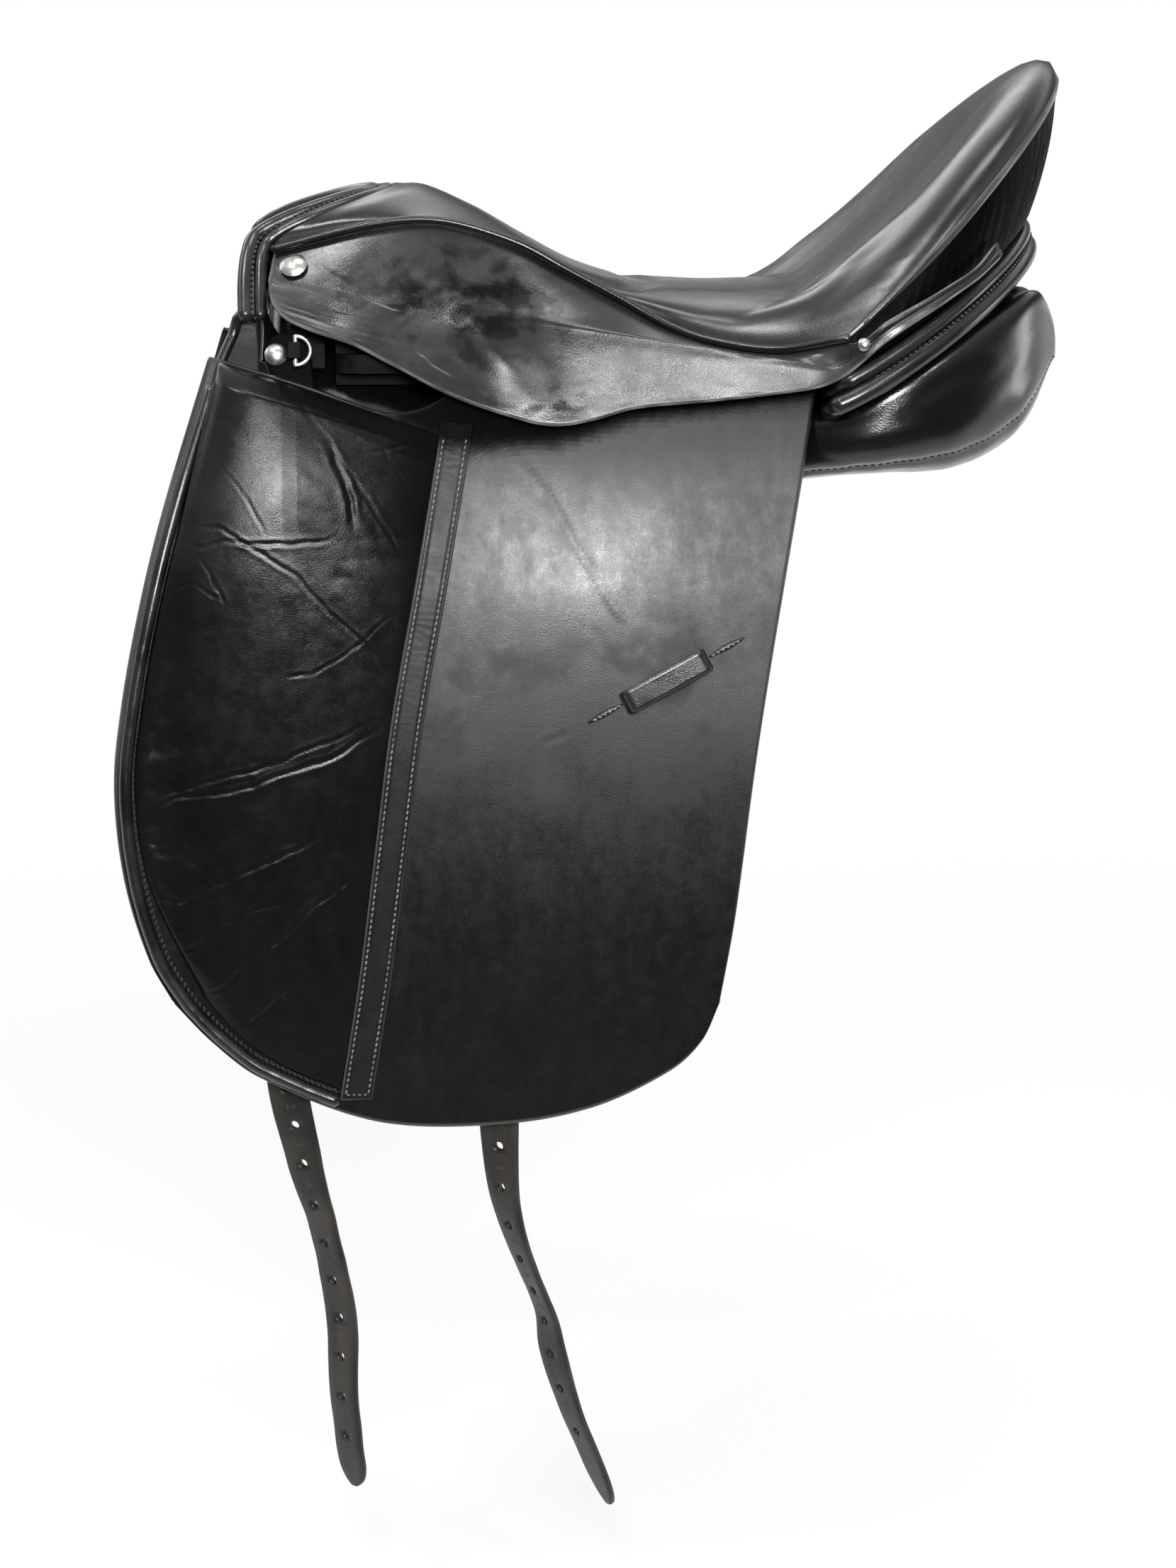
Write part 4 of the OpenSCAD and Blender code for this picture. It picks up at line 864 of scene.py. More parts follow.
def make_cantle():
    a, d = grid(np.linspace(88.5, -88.5, 150), support(24, 0.02))
    end = smooth(79, 84, np.abs(a))
    t = lerp(0.03, lerp(1.3, 0.7, end), d)
    top = seat_at(np.ones_like(a), a) - np.array([0, 0, 3.3])
    low = base_at(a)
    away = unit(points(np.cos(np.radians(a)), np.sin(np.radians(a)), 0))
    low = low - away * (3.5 * end + 4.5 * smooth(0.9, 1.06, t))[..., None]
    gather = 0.5 * np.sin(a * 1.9 + 3 * noise(a / 9, t * 2, 5)) * np.maximum(np.sin(np.pi * t), 0) ** 0.6
    flat, bow = lerp(low, top, (1 - t)[..., None]), 3 * np.sin(np.pi * t)
    verts, faces, edge = solid(*(flat + away * (bow + lift)[..., None] for lift in (gather, -3)))
    # The cantle's underside gets the near-black leather: painted shade under the rim.
    piece("cantle_back", verts, faces, SHADED_GUSSET, ("cantle_cover",), edge=0.3 * edge)
    k = np.linspace(-15, 15, 160)
    upper = base_at(5.85 * k, -1.0) - np.array([0, 0, 4.6])
    lower = base_at(6.1 * k, 1.5) - np.array([0, 0, 14.4])
    upper_end = np.array([[131.5, 138, 21.5], [130, 130, 19.5], [128, 120, 18]])
    lower_end = np.array([[129.5, 140, 11.5], [129, 131, 9.5], [128, 121, 8]])
    upper, lower = (np.concatenate([on_side(e[::-1], -1), row, on_side(e, 1)])
                    for row, e in ((upper, upper_end), (lower, lower_end)))
    for name, path, radius, level, seed in (("upper", upper, 4.1, 0.5, 3), ("lower", lower, 5.2, 0.4, 9)):
        v, f = tube(path, radius, 14)
        piece("cantle_edge_" + name, v, f, TRIM, ("cantle_roll_" + name,), wear=patchy(v, level, 0.4, 1, 12, seed))

    def facing(p):
        return points(0.4, p[:, 1] / 120, 0.15)
    seam = (lerp(upper, lower, 0.47) + unit(facing(upper)) * 3.4)[10:156]
    piece("cantle_seam", *stitches(seam, facing, 2.4, 3.6, 0.6), DARK_THREAD)


# Panels, their lining and the sweat flaps

def panel_rings(xs):
    p = curve(PANEL_PATTERN, xs)
    inside, outside, inner_top, top, low = p.T
    w, side = outside - inside, lerp(top, low, 0.7)
    return np.stack([np.stack(q, -1) for q in (
        (inside, inner_top), (inside, lerp(inner_top, low + 20, 0.5)), (inside + 0.06 * w, low + 16),
        (inside + 0.24 * w, low + 4), (inside + 0.5 * w, low), (inside + 0.78 * w, lerp(low, side, 0.18)),
        (outside - 0.02 * w, side), (outside, lerp(top, side, 0.45)), (outside - 0.07 * w, top),
        (inside + 0.5 * w, lerp(inner_top, top, 0.55)),
    )], 1)


def rounded_rings(rings, per):
    """A smooth closed line through each ring's points."""
    n = rings.shape[1]
    t = np.arange(n * per) / per
    i = t.astype(int)
    f = (t - i)[None, :, None]
    a, b, c, d = (rings[:, (i + k) % n] for k in (-1, 0, 1, 2))
    q, r = f * f, f * f * f
    return 0.5 * (2 * b + (c - a) * f + (2 * a - 5 * b + 4 * c - d) * q + (3 * b - a - 3 * c + d) * r)


PANEL_STEPS, PANEL_PER = 90, 8
PANEL_END, PANEL_TIP, PANEL_BLUNT = 231, 35, 2.8
PANEL_SEAM = 5.5


def panel_form(steps, per):
    """One panel as rings of points with rounded ends: all its points, its faces and the rings alone."""
    tip = np.sin(np.linspace(0.05, 1.53, 20))
    xs = np.concatenate([np.linspace(-170, 230, steps - 20), PANEL_END + PANEL_TIP * tip])
    ring = rounded_rings(panel_rings(xs), per)
    p = np.concatenate([np.broadcast_to(xs[:, None, None], ring.shape[:2] + (1,)), ring], -1)
    near_end = np.clip((xs - PANEL_END) / (PANEL_TIP + 0.1), 0, 1)
    shrink = ((1 - near_end ** PANEL_BLUNT) ** (1 / PANEL_BLUNT))[:, None, None]
    middle = p.mean(1, keepdims=True)
    middle[..., 2] = lerp(middle[..., 2], 30, smooth(0, 1, near_end)[:, None])
    p = np.concatenate([p[..., :1], lerp(middle, p, shrink)[..., 1:]], -1)
    n, m = p.shape[:2]
    verts, faces = [p.reshape(-1, 3)], loop_faces(n, m)
    start = n * m
    for at, toward in ((0, -0.4), (n - 1, 0.4)):
        mid = p[at].mean(0)
        verts += [lerp(mid, p[at], s) + np.array([toward * (1 - s), 0, 0]) for s in (0.7, 0.35)]
        verts.append((mid + [toward, 0, 0])[None])
        rows = [at * m + np.arange(m), start + np.arange(m), start + m + np.arange(m)]
        point = start + 2 * m
        faces += ring_faces(rows) + [[int(x), int(y), point] for x, y in zip(rows[2], np.roll(rows[2], -1))]
        start += 2 * m + 1
    return np.concatenate(verts), faces, p


def make_panels():
    verts, faces, p = panel_form(PANEL_STEPS, PANEL_PER)
    n, m = p.shape[:2]
    coarse_per = 4
    coarse, coarse_faces, q = panel_form(46, coarse_per)
    cn, cm = q.shape[:2]
    ring = np.arange(cm) / coarse_per
    free = (ring > 2.2) & (ring < 7.2)
    ends = [np.arange(cm), (cn - 1) * cm + np.arange(cm), np.arange(cn * cm, len(coarse))]
    held = np.concatenate([np.flatnonzero(~np.tile(free, cn)), *ends])
    puff = swelled(coarse, coarse_faces, held, 4.0, 3.0)[:cn * cm].reshape(cn, cm, 3)
    p = p + enlarged(np.concatenate([puff, puff[:, :1]], 1), n, m + 1)[:, :m]
    ring = np.broadcast_to(np.arange(m) / PANEL_PER, (n, m))
    x = p[..., 0]
    out = unit(p - p.mean(1, keepdims=True))
    soft = 0.9 * cloud(x / 34, ring * 1.4, 31) + 0.35 * cloud(x / 11, ring * 3, 33)
    near_seam = np.abs(ring - PANEL_SEAM)
    groove = -1.3 * bell(near_seam, 0.1) + 0.5 * bell(near_seam - 0.27, 0.14)
    seam_on = smooth(60, 95, x)
    pulls = 0.5 * np.sin(x / 3.4 + 2 * cloud(x / 9, ring, 35)) * bell(near_seam, 0.5) * seam_on
    sides = smooth(2, 2.8, ring) * smooth(8, 7, ring) * smooth(266, 252, x)
    p = p + out * ((soft + pulls) * sides + groove * seam_on * smooth(266, 256, x))[..., None]
    verts = np.concatenate([p.reshape(-1, 3), verts[n * m:]])
    wear = 0.4 * smooth(0.1, 0.6, cloud(x / 50, ring, 37)) * sides
    col = int(PANEL_SEAM * PANEL_PER)
    seam = (p + 0.25 * out)[:, col][x[:, col] > 80]
    for side, k in SIDES:
        obj = piece("panel_pad_" + side, on_side(verts, k), faces, PANEL, ("panel_" + side,), slot="panel_leather",
                    wear=wear)

        def facing(q):
            return points(0.1, 0 * q[:, 1] + k, -0.35)
        row = stitches(on_side(seam, k), facing, 2.6, 4.2, 0.6)
        piece("panel_stitches_" + side, *row, BROWN_THREAD, slot="panel_leather")


def make_lining():
    half, arch = 33.7, 3
    x, y = grid(np.linspace(-108, 240, 120), np.linspace(-half, half, 25))
    z = curve(LINING_Z, x)[..., 0] + arch - arch * (y / half) ** 2 + 0.4 * cloud(x / 20, y / 12, 41)
    top = points(x, y, z)
    verts, faces, _ = solid(top, top - np.array([0, 0, 2.0]))
    piece("channel_lining", verts, faces, UNDER, ("gullet_lining",))


def make_arch():
    t, v = grid(np.linspace(-1.16, 1.16, 170), support(14, 0.05))
    face = lerp(curve(ARCH_LOW, np.abs(t)), curve(ARCH_HIGH, np.abs(t)), v[..., None])
    face = face * points(1, np.sign(t), 1)
    back = unit(points(1, face[..., 1] / 60, 0.2))
    face = face + back * (0.25 + 0.2 * cloud(face[..., 1] / 14, face[..., 2] / 14, 43))[..., None]
    verts, faces, edge = solid(face, face + back * 1.7)
    piece("arch_leather", verts, faces, PANEL, ("arch_lining",), edge=0.2 * edge)


def sweat_at(s, t):
    return patch(SWEAT_LOW, SWEAT_HIGH, SWEAT_FRONT, SWEAT_REAR, s, t)


def make_sweat_flaps():
    columns = np.concatenate([np.linspace(0, 0.13, 22), np.linspace(0.15, 0.992, 52), [1]])
    q = sweat_at(*grid(columns, support(84, 0.006)))
    x, z = q[..., 0], q[..., 1]
    wave = 0.35 * cloud(x / 60, z / 60, 51)
    wear = smooth(0.0, 0.5, cloud(x / 40, z / 60, 53))
    low_rim = sweat_at(np.linspace(0.03, 0.97, 200), np.full(200, 0.02))
    front_rim = sweat_at(np.full(200, 0.02), np.linspace(0.04, 0.97, 200))
    edge_line = sweat_at(np.full(90, 0.012), np.linspace(0.6, 0.985, 90))
    deep = FLAP_T + SLOT_W
    for side, k in SIDES:
        outer, inner = (on_flap(q, -deep - d + 0.5 * wave, k) for d in (0.4, SWEAT_T))
        verts, faces, edge = solid(outer, inner)
        piece("sweat_flap_leather_" + side, verts, faces, UNDER, ("sweat_flap_" + side,), wear=0.6 * wear,
              edge=0.3 * edge)
        rows = [stitches(on_flap(r, -deep - 0.2, k), (0, k, 0), 2.8, 4.4, 0.6) for r in (low_rim, front_rim)]
        piece("sweat_flap_stitches_" + side, *joined(rows), BROWN_THREAD)
        to_pommel = [[-188.5, 86.6 * k, 56], [-184.6, 88.6 * k, 60.5]]
        v, f = tube([*on_flap(edge_line, -deep - SWEAT_T / 2, k), *to_pommel], 3.2, 12, (0, 1, 0))
        piece("sweat_flap_edge_" + side, v, f, TRIM, wear=patchy(v, 0.3, 0.3, 0, 8, 55))


# Skirts

SKIRT_TOP = [r for r in WELT_ROWS if r[0] < 128] + [
    [142, 146, 47], [155, 149, 57], [187, 140, 74], [207, 127, 85], [219, 117, 97],
]
SKIRT_LOW = SKIRT_EDGE[:-2] + [
    [118, 145, 23.5], [128, 147, 27.5], [137, 148.5, 33.5], [150, 149.5, 44], [165, 149.5, 55], [187, 143, 68.5],
    [207, 130, 80], [222, 118, 91],
]
SKIRT_WRINKLES = [
    (0.3, 0.9, [[-150, 88], [-120, 70], [-96, 60]]), (0.3, 0.9, [[-100, 48], [-84, 34], [-70, 26]]),
    (0.3, 0.9, [[-66, 30], [-62, 22], [-56, 16]]), (0.25, 0.9, [[60, 44], [84, 40], [104, 40]]),
]


def skirt_sheet():
    """The skirt's face from the seam over the fold to its cut edge, with the narrow tail along the cantle."""
    crease, hang, corner = 0.3, 0.7, 0.035
    s, t = grid(
        np.concatenate([support(170, 0.005)[:-2] * 0.8, np.linspace(0.8, 0.995, 50), [1]]),
        np.concatenate([support(18, 0.05)[:-1] * crease, crease + hang * support(56, 0.012)[1:]]))

    def keyed(rows, x):
        return np.concatenate([x[..., None], curve(rows, x)], -1)
    top, low = keyed(SKIRT_TOP, lerp(-168.5, 219, s)), keyed(SKIRT_LOW, lerp(-172, 222, s))
    x = lerp(-171.2, 220, s)
    fold = lerp(skirt_fold(x), lerp(top, low, 0.5), smooth(118, 142, x)[..., None])
    cut = np.where(s < corner, 1 - np.sqrt(np.maximum(0, 1 - ((corner - s) / corner) ** 2)), 0)
    low = low + (fold - low) * 0.62 * cut[..., None]
    first, second = (t / crease)[..., None], ((t - crease) / hang)[..., None]
    p = np.where(t[..., None] < crease, lerp(top, fold, first), lerp(fold, low, second))
    out = normals(p)
    out = out * np.sign(out[60, 40, 1])
    return p - out * (0.55 * bell(t - crease, 0.12))[..., None], out, t


def make_skirts():
    p, out, t = skirt_sheet()
    x, z = p[..., 0], p[..., 2]
    wide = smooth(150, 110, x)
    body = smooth(0, 0.05, t) * smooth(1, 0.94, t)
    uneven = 0.6 * cloud(x / 55, z / 45, 63) + 0.12 * cloud(x / 14, z / 9, 65)
    height = creases(x, z, SKIRT_WRINKLES, 61) + uneven * wide
    fine = blob(x, z + 0.22 * (x + 128), -128, 56, 40, 14)
    height = height + 0.11 * fine * np.sin((z + 0.26 * x) * 1.9 + 3.2 * cloud(x / 22, z / 6, 69)) * (
        0.6 + 0.6 * cloud(x / 12, z / 5, 66))
    bend = bell(x + 45 - 0.45 * (28 - z), 19)
    bulge = 4.6 * bend * smooth(0.15, 0.62, t) * smooth(1.12, 0.62, t)
    hollow = -1.0 * bell(x + 140, 14) * smooth(0.4, 0.8, t)
    flare = 3.0 * smooth(-120, -70, x) * smooth(-20, -60, x) * smooth(0.7, 1, t)
    p = p + out * (height * body + bulge + hollow * smooth(1.05, 0.8, t) + flare)[..., None]
    under = p - out * SKIRT_T
    # Lighter colour, partly haze and partly painted sheen: a patch near the front, and the rear half where the broad
    # highlight is.
    haze_and_painted_sheen = 0.5 * blob(x, z, -78, 70, 54, 30)
    haze_and_painted_sheen = haze_and_painted_sheen + (0.25 * smooth(-30, 10, x) + 0.6 * smooth(40, 110, x)) * smooth(142, 116, x)
    wear = haze_and_painted_sheen * (0.55 + 0.35 * cloud(x / 30, z / 22, 67)) + 0.06
    dull = np.minimum(1, 1.5 * blob(x, z, -66, 68, 46, 26)) * smooth(0.02, 0.12, t)
    stain = cloud((x + 0.6 * z) / 17, (z - 0.3 * x) / 8, 68) + 0.6 * cloud(x / 5, z / 3.5, 70)
    low_stain = 1.2 * blob(x, z, -24, 13, 22, 7)
    stain = 0.8 * (smooth(0.0, 0.3, stain) * np.minimum(1, dull + low_stain))
    wear = wear * (1 - stain)
    verts, faces, edge = solid(p, under, 0.6, 2)
    edge = edge * patchy(verts, 0.6, 0.4, 0, 8, 5)
    for side, k in SIDES:
        name = "skirt_" + side
        obj = piece("skirt_leather_" + side, on_side(verts, k), faces, SKIRT, (name, "skirt_margin_" + side),
                    body=None, wear=wear, dull=dull, edge=edge)
        graded(obj, stain, SKIRT_STAINED)
        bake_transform(obj)


# Flaps and what is sewn on them

FLAP_RIDGES = [
    (-0.55, 1.6, [[-41, -14], [-24, -37], [0, -77], [22, -112]]), (0.35, 1.4, [[-38, -50], [-20, -79]]),
    (0.35, 1.5, [[-2, -103], [18, -133]]), (0.3, 1.4, [[11, -97], [34, -124]]),
    (0.25, 1.1, [[100, 2], [98, -20], [95, -42]]), (0.25, 1.1, [[108, 6], [107, -12], [103, -34]]),
    (0.2, 1.1, [[86, -10], [86, -30], [82, -50]]), (0.2, 1.1, [[-70, -60], [-62, -96]]),
    (0.2, 1.1, [[6, -20], [20, -52], [30, -70]]), (0.25, 1.2, [[-14, -160], [-30, -166]]),
]
# How far the painted shadow reaches below the skirt's edge, along x, in mm.
SHADE_DEPTH = [[-100, 30], [-65, 24], [-45, 16], [-25, 11], [0, 8], [100, 5.5], [134, 5]]


def under_skirt(x, z):
    """How far a place lies under the skirt's edge, out of the light, where its shadow is painted: 1 well under it, 0
    clear of it.
    """
    below = curve([[r[0], r[2]] for r in SKIRT_EDGE], np.clip(x, -172, 134))[..., 0] - z
    deep = curve(SHADE_DEPTH, np.clip(x, -100, 134))[..., 0]
    return smooth(deep + 8, deep - 6, below + 1.5 * noise(x / 3, z / 3, 72)) * smooth(-150, -120, x)


def strip_front(z, high):
    """Where the strip's front edge lies at a height."""
    return curve([[r[2], r[1]] for r in STRIP_LINE], np.clip(z, -364, high))[..., 0]


def make_flaps():
    tab = 17.0
    high = [
        [0, -203, 37], [0.16, -150, 21], [0.27, -112, 8], [0.33, -94, 9], [0.38, -80, 15], [0.43, -66, 25],
        [0.48, -50, fold_at(-50) + 7], [0.54, -28, fold_at(-28) + tab], [0.68, 20, fold_at(20) + tab],
        [0.8, 58, fold_at(58) + tab], [0.87, 76, fold_at(76) + 4], [1, 121, fold_at(121) - 0.4],
    ]
    rear = [[0, 67, -309], [0.14, 75, -263], [0.4, 87, -170], [0.7, 102, -80], [1, 121, fold_at(121) - 0.4]]
    s, t = grid(support(150, 0.005), support(170, 0.004))
    q = patch(FLAP_LOW, high, FLAP_FRONT, rear, s, t)
    q[0, 0] = (q[3, 0] + q[0, 3]) / 2
    x, z = q[..., 0], q[..., 1]
    height = creases(x, z, FLAP_RIDGES, 71) + 0.5 * cloud(x / 90, z / 90, 73) + 0.05 * cloud(x / 16, z / 22, 75)
    bare = smooth(16, 32, x - strip_front(z, 3)) * smooth(fold_at(x) + 2, fold_at(x) - 14, z)
    height = np.minimum(height, 0.8) * bare
    # Lighter upper flap: partly wear, partly painted sheen of the light from above. The four main ridges are lighter
    # too.
    upper = smooth(-215, -150, z + 40 * cloud(x / 60, z / 60, 77))
    wear = upper * (0.4 + 0.45 * smooth(-0.3, 0.6, cloud(x / 50, z / 60, 79))) + 0.02
    for ridge in FLAP_RIDGES[:4]:
        wear = wear + 0.4 * bell(to_line(x, z, ridge[2])[0], 7)
    dull = 0.35 * smooth(0.0, 0.4, cloud(x / 40, z / 40, 81)) * smooth(-240, -180, z) * smooth(-70, -130, z)
    # Painted shadow under the skirt's edge: there the leather loses its lighter colour, turns matt and gets duller
    # copies of itself.
    painted_skirt_shadow = under_skirt(x, z)
    wear = wear * (1 - painted_skirt_shadow)
    polished = blob(x, z, -6, -78, 58, 62)
    matte = np.maximum(0.3 * (1 - polished) * smooth(-320, -130, z), painted_skirt_shadow)
    for side, k in SIDES:
        # Cut edges are lighter except near the top, which lies in the painted shadow under the skirt.
        verts, faces, edge = solid(on_flap(q, height, k), on_flap(q, -FLAP_T, k), 0.55, 2)
        name = "flap_" + side
        obj = piece("flap_leather_" + side, verts, faces, FLAP, (name, "flap_margin_" + side), body=None,
                    wear=np.minimum(1, wear), dull=dull, matte=matte,
                    edge=edge * (0.8 - 0.75 * smooth(-30, -10, verts[:, 2])))
        graded(obj, painted_skirt_shadow, FLAP_SHADED)
        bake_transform(obj)


BLOCK_CREASES = [
    (0.38, 0.94, [[-222, -54], [-205, -58], [-195, -55], [-172, -56], [-143, -55], [-135, -51]]),
    (0.33, 0.85, [[-216, -45], [-197, -48], [-184, -56], [-161, -70], [-143, -90], [-125, -108], [-108, -130]]),
    (0.25, 0.77, [[-167, -124], [-151, -124], [-138, -117], [-125, -108], [-108, -95]]),
    (0.15, 0.77, [[-159, -91], [-150, -122], [-145, -141], [-141, -161], [-138, -184], [-138, -205], [-141, -233],
                  [-135, -276]]),
    (0.45, 1, [[-239, -197], [-221, -189], [-195, -187], [-168, -178], [-142, -170], [-113, -154]]),
    (0.3, 0.94, [[-235, -190], [-205, -181], [-172, -172], [-140, -160], [-118, -150]]),
    (0.2, 0.77, [[-198, -15], [-184, -31], [-174, -51]]), (0.23, 0.77, [[-213, -57], [-199, -80], [-195, -89]]),
    (0.23, 0.77, [[-224, -78], [-213, -76], [-198, -84]]),
    (0.25, 0.85, [[-143, 4], [-136, -9], [-120, -34], [-96, -74]]),
    (0.17, 0.77, [[-132, -10], [-113, -10], [-96, -6]]), (0.17, 0.77, [[-112, -8], [-102, -22], [-95, -40]]),
    (0.33, 0.94, [[-239, -247], [-223, -246], [-208, -238], [-190, -230], [-172, -224], [-144, -211]]),
    (0.42, 1, [[-212, -299], [-195, -288], [-179, -274], [-160, -258], [-144, -245], [-128, -232]]),
    (0.35, 0.94, [[-192, -316], [-176, -303], [-161, -291], [-151, -281]]),
    (0.3, 0.85, [[-227, -276], [-214, -269], [-190, -252], [-166, -248]]),
    (0.5, 1.5, [[-166, 30], [-150, 10], [-137, -10], [-129, -34], [-127, -52]]),
]
BLOCK_THICK = [[0, 3], [0.08, 6.5], [0.3, 8], [0.5, 10], [0.65, 13.5], [0.8, 20], [0.9, 25], [0.96, 27], [1, 27]]
BLOCK_SLACK = 0.92


def block_at(i, j):
    q = patch(BLOCK_LOW, BLOCK_HIGH, BLOCK_FRONT, BLOCK_REAR, i, j)
    across = np.sin(np.pi * np.clip(lerp(0.015, 0.99, i), 0, 1) ** 0.54) ** 0.58
    top = np.sqrt(np.clip((1.004 - j) / 0.026, 0, 1))
    return q, 1.5 + curve(BLOCK_THICK, j)[..., 0] * across * top ** 0.8


def make_blocks():
    q, out = block_at(*grid(np.linspace(0, 1, 30), np.linspace(0, 1, 56)))
    puff = puffed(on_flap(q, BLOCK_SLACK * out, -1), on_flap(q, 0.6, -1), 4.0, 2.5)
    i, j = grid(np.linspace(0, 1, 160), np.linspace(0, 1, 320))
    q, out = block_at(i, j)
    n, m = i.shape
    rise = enlarged(-puff[..., 1:2], n, m)[..., 0]
    x, z = q[..., 0], q[..., 1]
    rim = np.minimum(np.minimum(i, 1 - i) * 7, np.minimum(j * 14, (1 - j) * 22))
    body = smooth(0, 0.7, rim)
    low = smooth(-190, -260, z)
    pebble = 0.16 * cloud(x / 3.4, z / 3.4, 83) * low + 0.2 * cloud(x / 30, z / 30, 85)
    drag = 0.12 * np.sin((x + z) / 3.6 + 2.5 * cloud(x / 18, z / 18, 87)) * smooth(0.1, 0.5, cloud(x / 30, z / 30, 89))
    front = smooth(-216, -236, x)
    folds = np.abs(noise(z / 5.5, x / 30, 91)) * front * smooth(-90, -130, z) * 0.55
    height = lerp(out * BLOCK_SLACK, np.maximum(out * BLOCK_SLACK + rise, 0.9), body)
    height = height + (creases(x, z, BLOCK_CREASES, 93) + pebble + drag - folds) * body
    height = np.maximum(height, 1.2)
    # Lighter upper block and a patch at its top front: partly wear, partly painted highlight.
    wear = 0.5 * smooth(0.0, 0.55, cloud(x / 34, z / 40, 95)) * smooth(-110, -20, z) + 0.04 * low + 0.1 * front
    wear = wear + 0.5 * blob(x, z, -190, -20, 24, 30)
    # Painted shade: the top under the skirt's edge and the part right of the top crease get darker, duller copies of
    # the leather.
    top_edge = curve([[r[1], r[2]] for r in BLOCK_HIGH], np.clip(x, -198, -81.5))[..., 0] - z
    shade = smooth(lerp(14, 34, smooth(-170, -90, x)), 3, top_edge) * smooth(-188, -160, x)
    shade = np.maximum(shade, 0.5 * smooth(-172, -150, x) * smooth(-75, -45, z))
    wear = wear * (1 - shade)
    for side, k in SIDES:
        verts, faces, _ = solid(on_flap(q, height, k), on_flap(q, 0.5, k), 0.5, 1)
        obj = piece("knee_pad_" + side, verts, faces, BLOCK, ("knee_block_" + side,), body="flap_" + side,
                    slot="block_leather", wear=np.minimum(1, wear))
        graded(obj, shade, BLOCK_SHADED)


def make_strips():
    w, j = grid(support(18, 0.05), support(330, 0.003))
    q = curve(STRIP_LINE, lerp(0.02, 1, j))
    q = q + points(w * STRIP_W, 0)
    x, z = q[..., 0], q[..., 1]
    upper = smooth(-190, -90, z)
    ribs = 0.07 * np.sin(z * 1.7 + w * 7 + 2.5 * noise(z / 6, w * 3, 101)) * upper
    ribs = ribs * (0.7 + 0.5 * noise(z / 11, w * 2, 107))
    seams = (0.13, 0.87)
    quilt = -0.55 * sum(bell(w - at, 0.06) for at in seams)
    height = 2.6 + quilt + (ribs + 0.05 * cloud(x / 8, z / 8, 103)) * smooth(0, 0.12, w) * smooth(1, 0.88, w)
    # Painted shadow under the skirt's edge: the strip loses its lighter colour there and gets duller copies of its
    # leather.
    shade = under_skirt(x, z)
    wear = (0.5 * smooth(0, 0.5, noise(z / 30, w * 2, 105)) * upper + 0.2) * (1 - shade)
    line = curve(STRIP_LINE, np.linspace(0.03, 0.985, 240))
    for side, k in SIDES:
        verts, faces, edge = solid(on_flap(q, height, k), on_flap(q, 0.5, k), 0.5, 2)
        vx, vz = verts[:, 0], verts[:, 2]
        # Painted highlight along the strip's front edge, left out in the painted shadow under the skirt.
        lit = np.where(vx < strip_front(vz, -8) + 6, 1, 0.35)
        obj = piece("strip_leather_" + side, verts, faces, STRIP, ("flap_strip_" + side,), body="flap_" + side,
                    slot="strap_leather", wear=wear, edge=edge * lit * (1 - under_skirt(vx, vz)))
        graded(obj, shade, STRIP_SHADED)
        rows = [stitches(on_flap(line + np.array([at * STRIP_W, 0]), 2.25, k), (0, k, 0.15), 2.2, 3.3, 0.5)
                for at in seams]
        foot = line[0] + points(np.linspace(*seams, 20) * STRIP_W, 0)
        rows.append(stitches(on_flap(foot, 2.25, k), (0, k, 0), 2.0, 3.0, 0.5))
        piece("strip_stitches_" + side, *joined(rows), PALE_THREAD, body="flap_" + side, slot="strap_leather")


def roll_path(k, inset, out):
    low_s = 0.34 - np.linspace(0, 7, 60) * 0.046
    low_a = np.radians(38 + 95 * low_s)
    low = curve(FLAP_LOW, low_s) + inset * points(np.cos(low_a), np.sin(low_a))
    t = np.linspace(0, 14, 140) / 14.5
    a = np.radians(np.maximum(-14, 38 - 125 * t))
    front = curve(FLAP_FRONT, t) + inset * points(np.cos(a), np.sin(a))
    q = np.concatenate([low, front[4:]])
    q[1:-1] = (q[:-2] + 2 * q[1:-1] + q[2:]) / 4
    return on_flap(q, out, k)


def make_flap_rolls():
    for side, k in SIDES:
        path = roll_path(k, 5.6, 4.1)
        n = len(path)
        bend = np.sin(np.linspace(0, 90, n) + 3 * noise(np.linspace(0, 30, n), np.zeros(n), 3))
        v, f = tube(path, 3.4 + 0.08 * bend, 14, (0, 1, 0))
        piece("flap_rim_" + side, v, f, TRIM, ("flap_roll_" + side,), body="flap_" + side,
              wear=patchy(v, 0.35, 0.35, 0, 14, 7))
        row = stitches(roll_path(k, 10.2, 1.6), (0, k, 0), 2.6, 3.4, 0.6, 0.75)
        piece("flap_rim_stitches_" + side, *row, DARK_THREAD, body="flap_" + side)


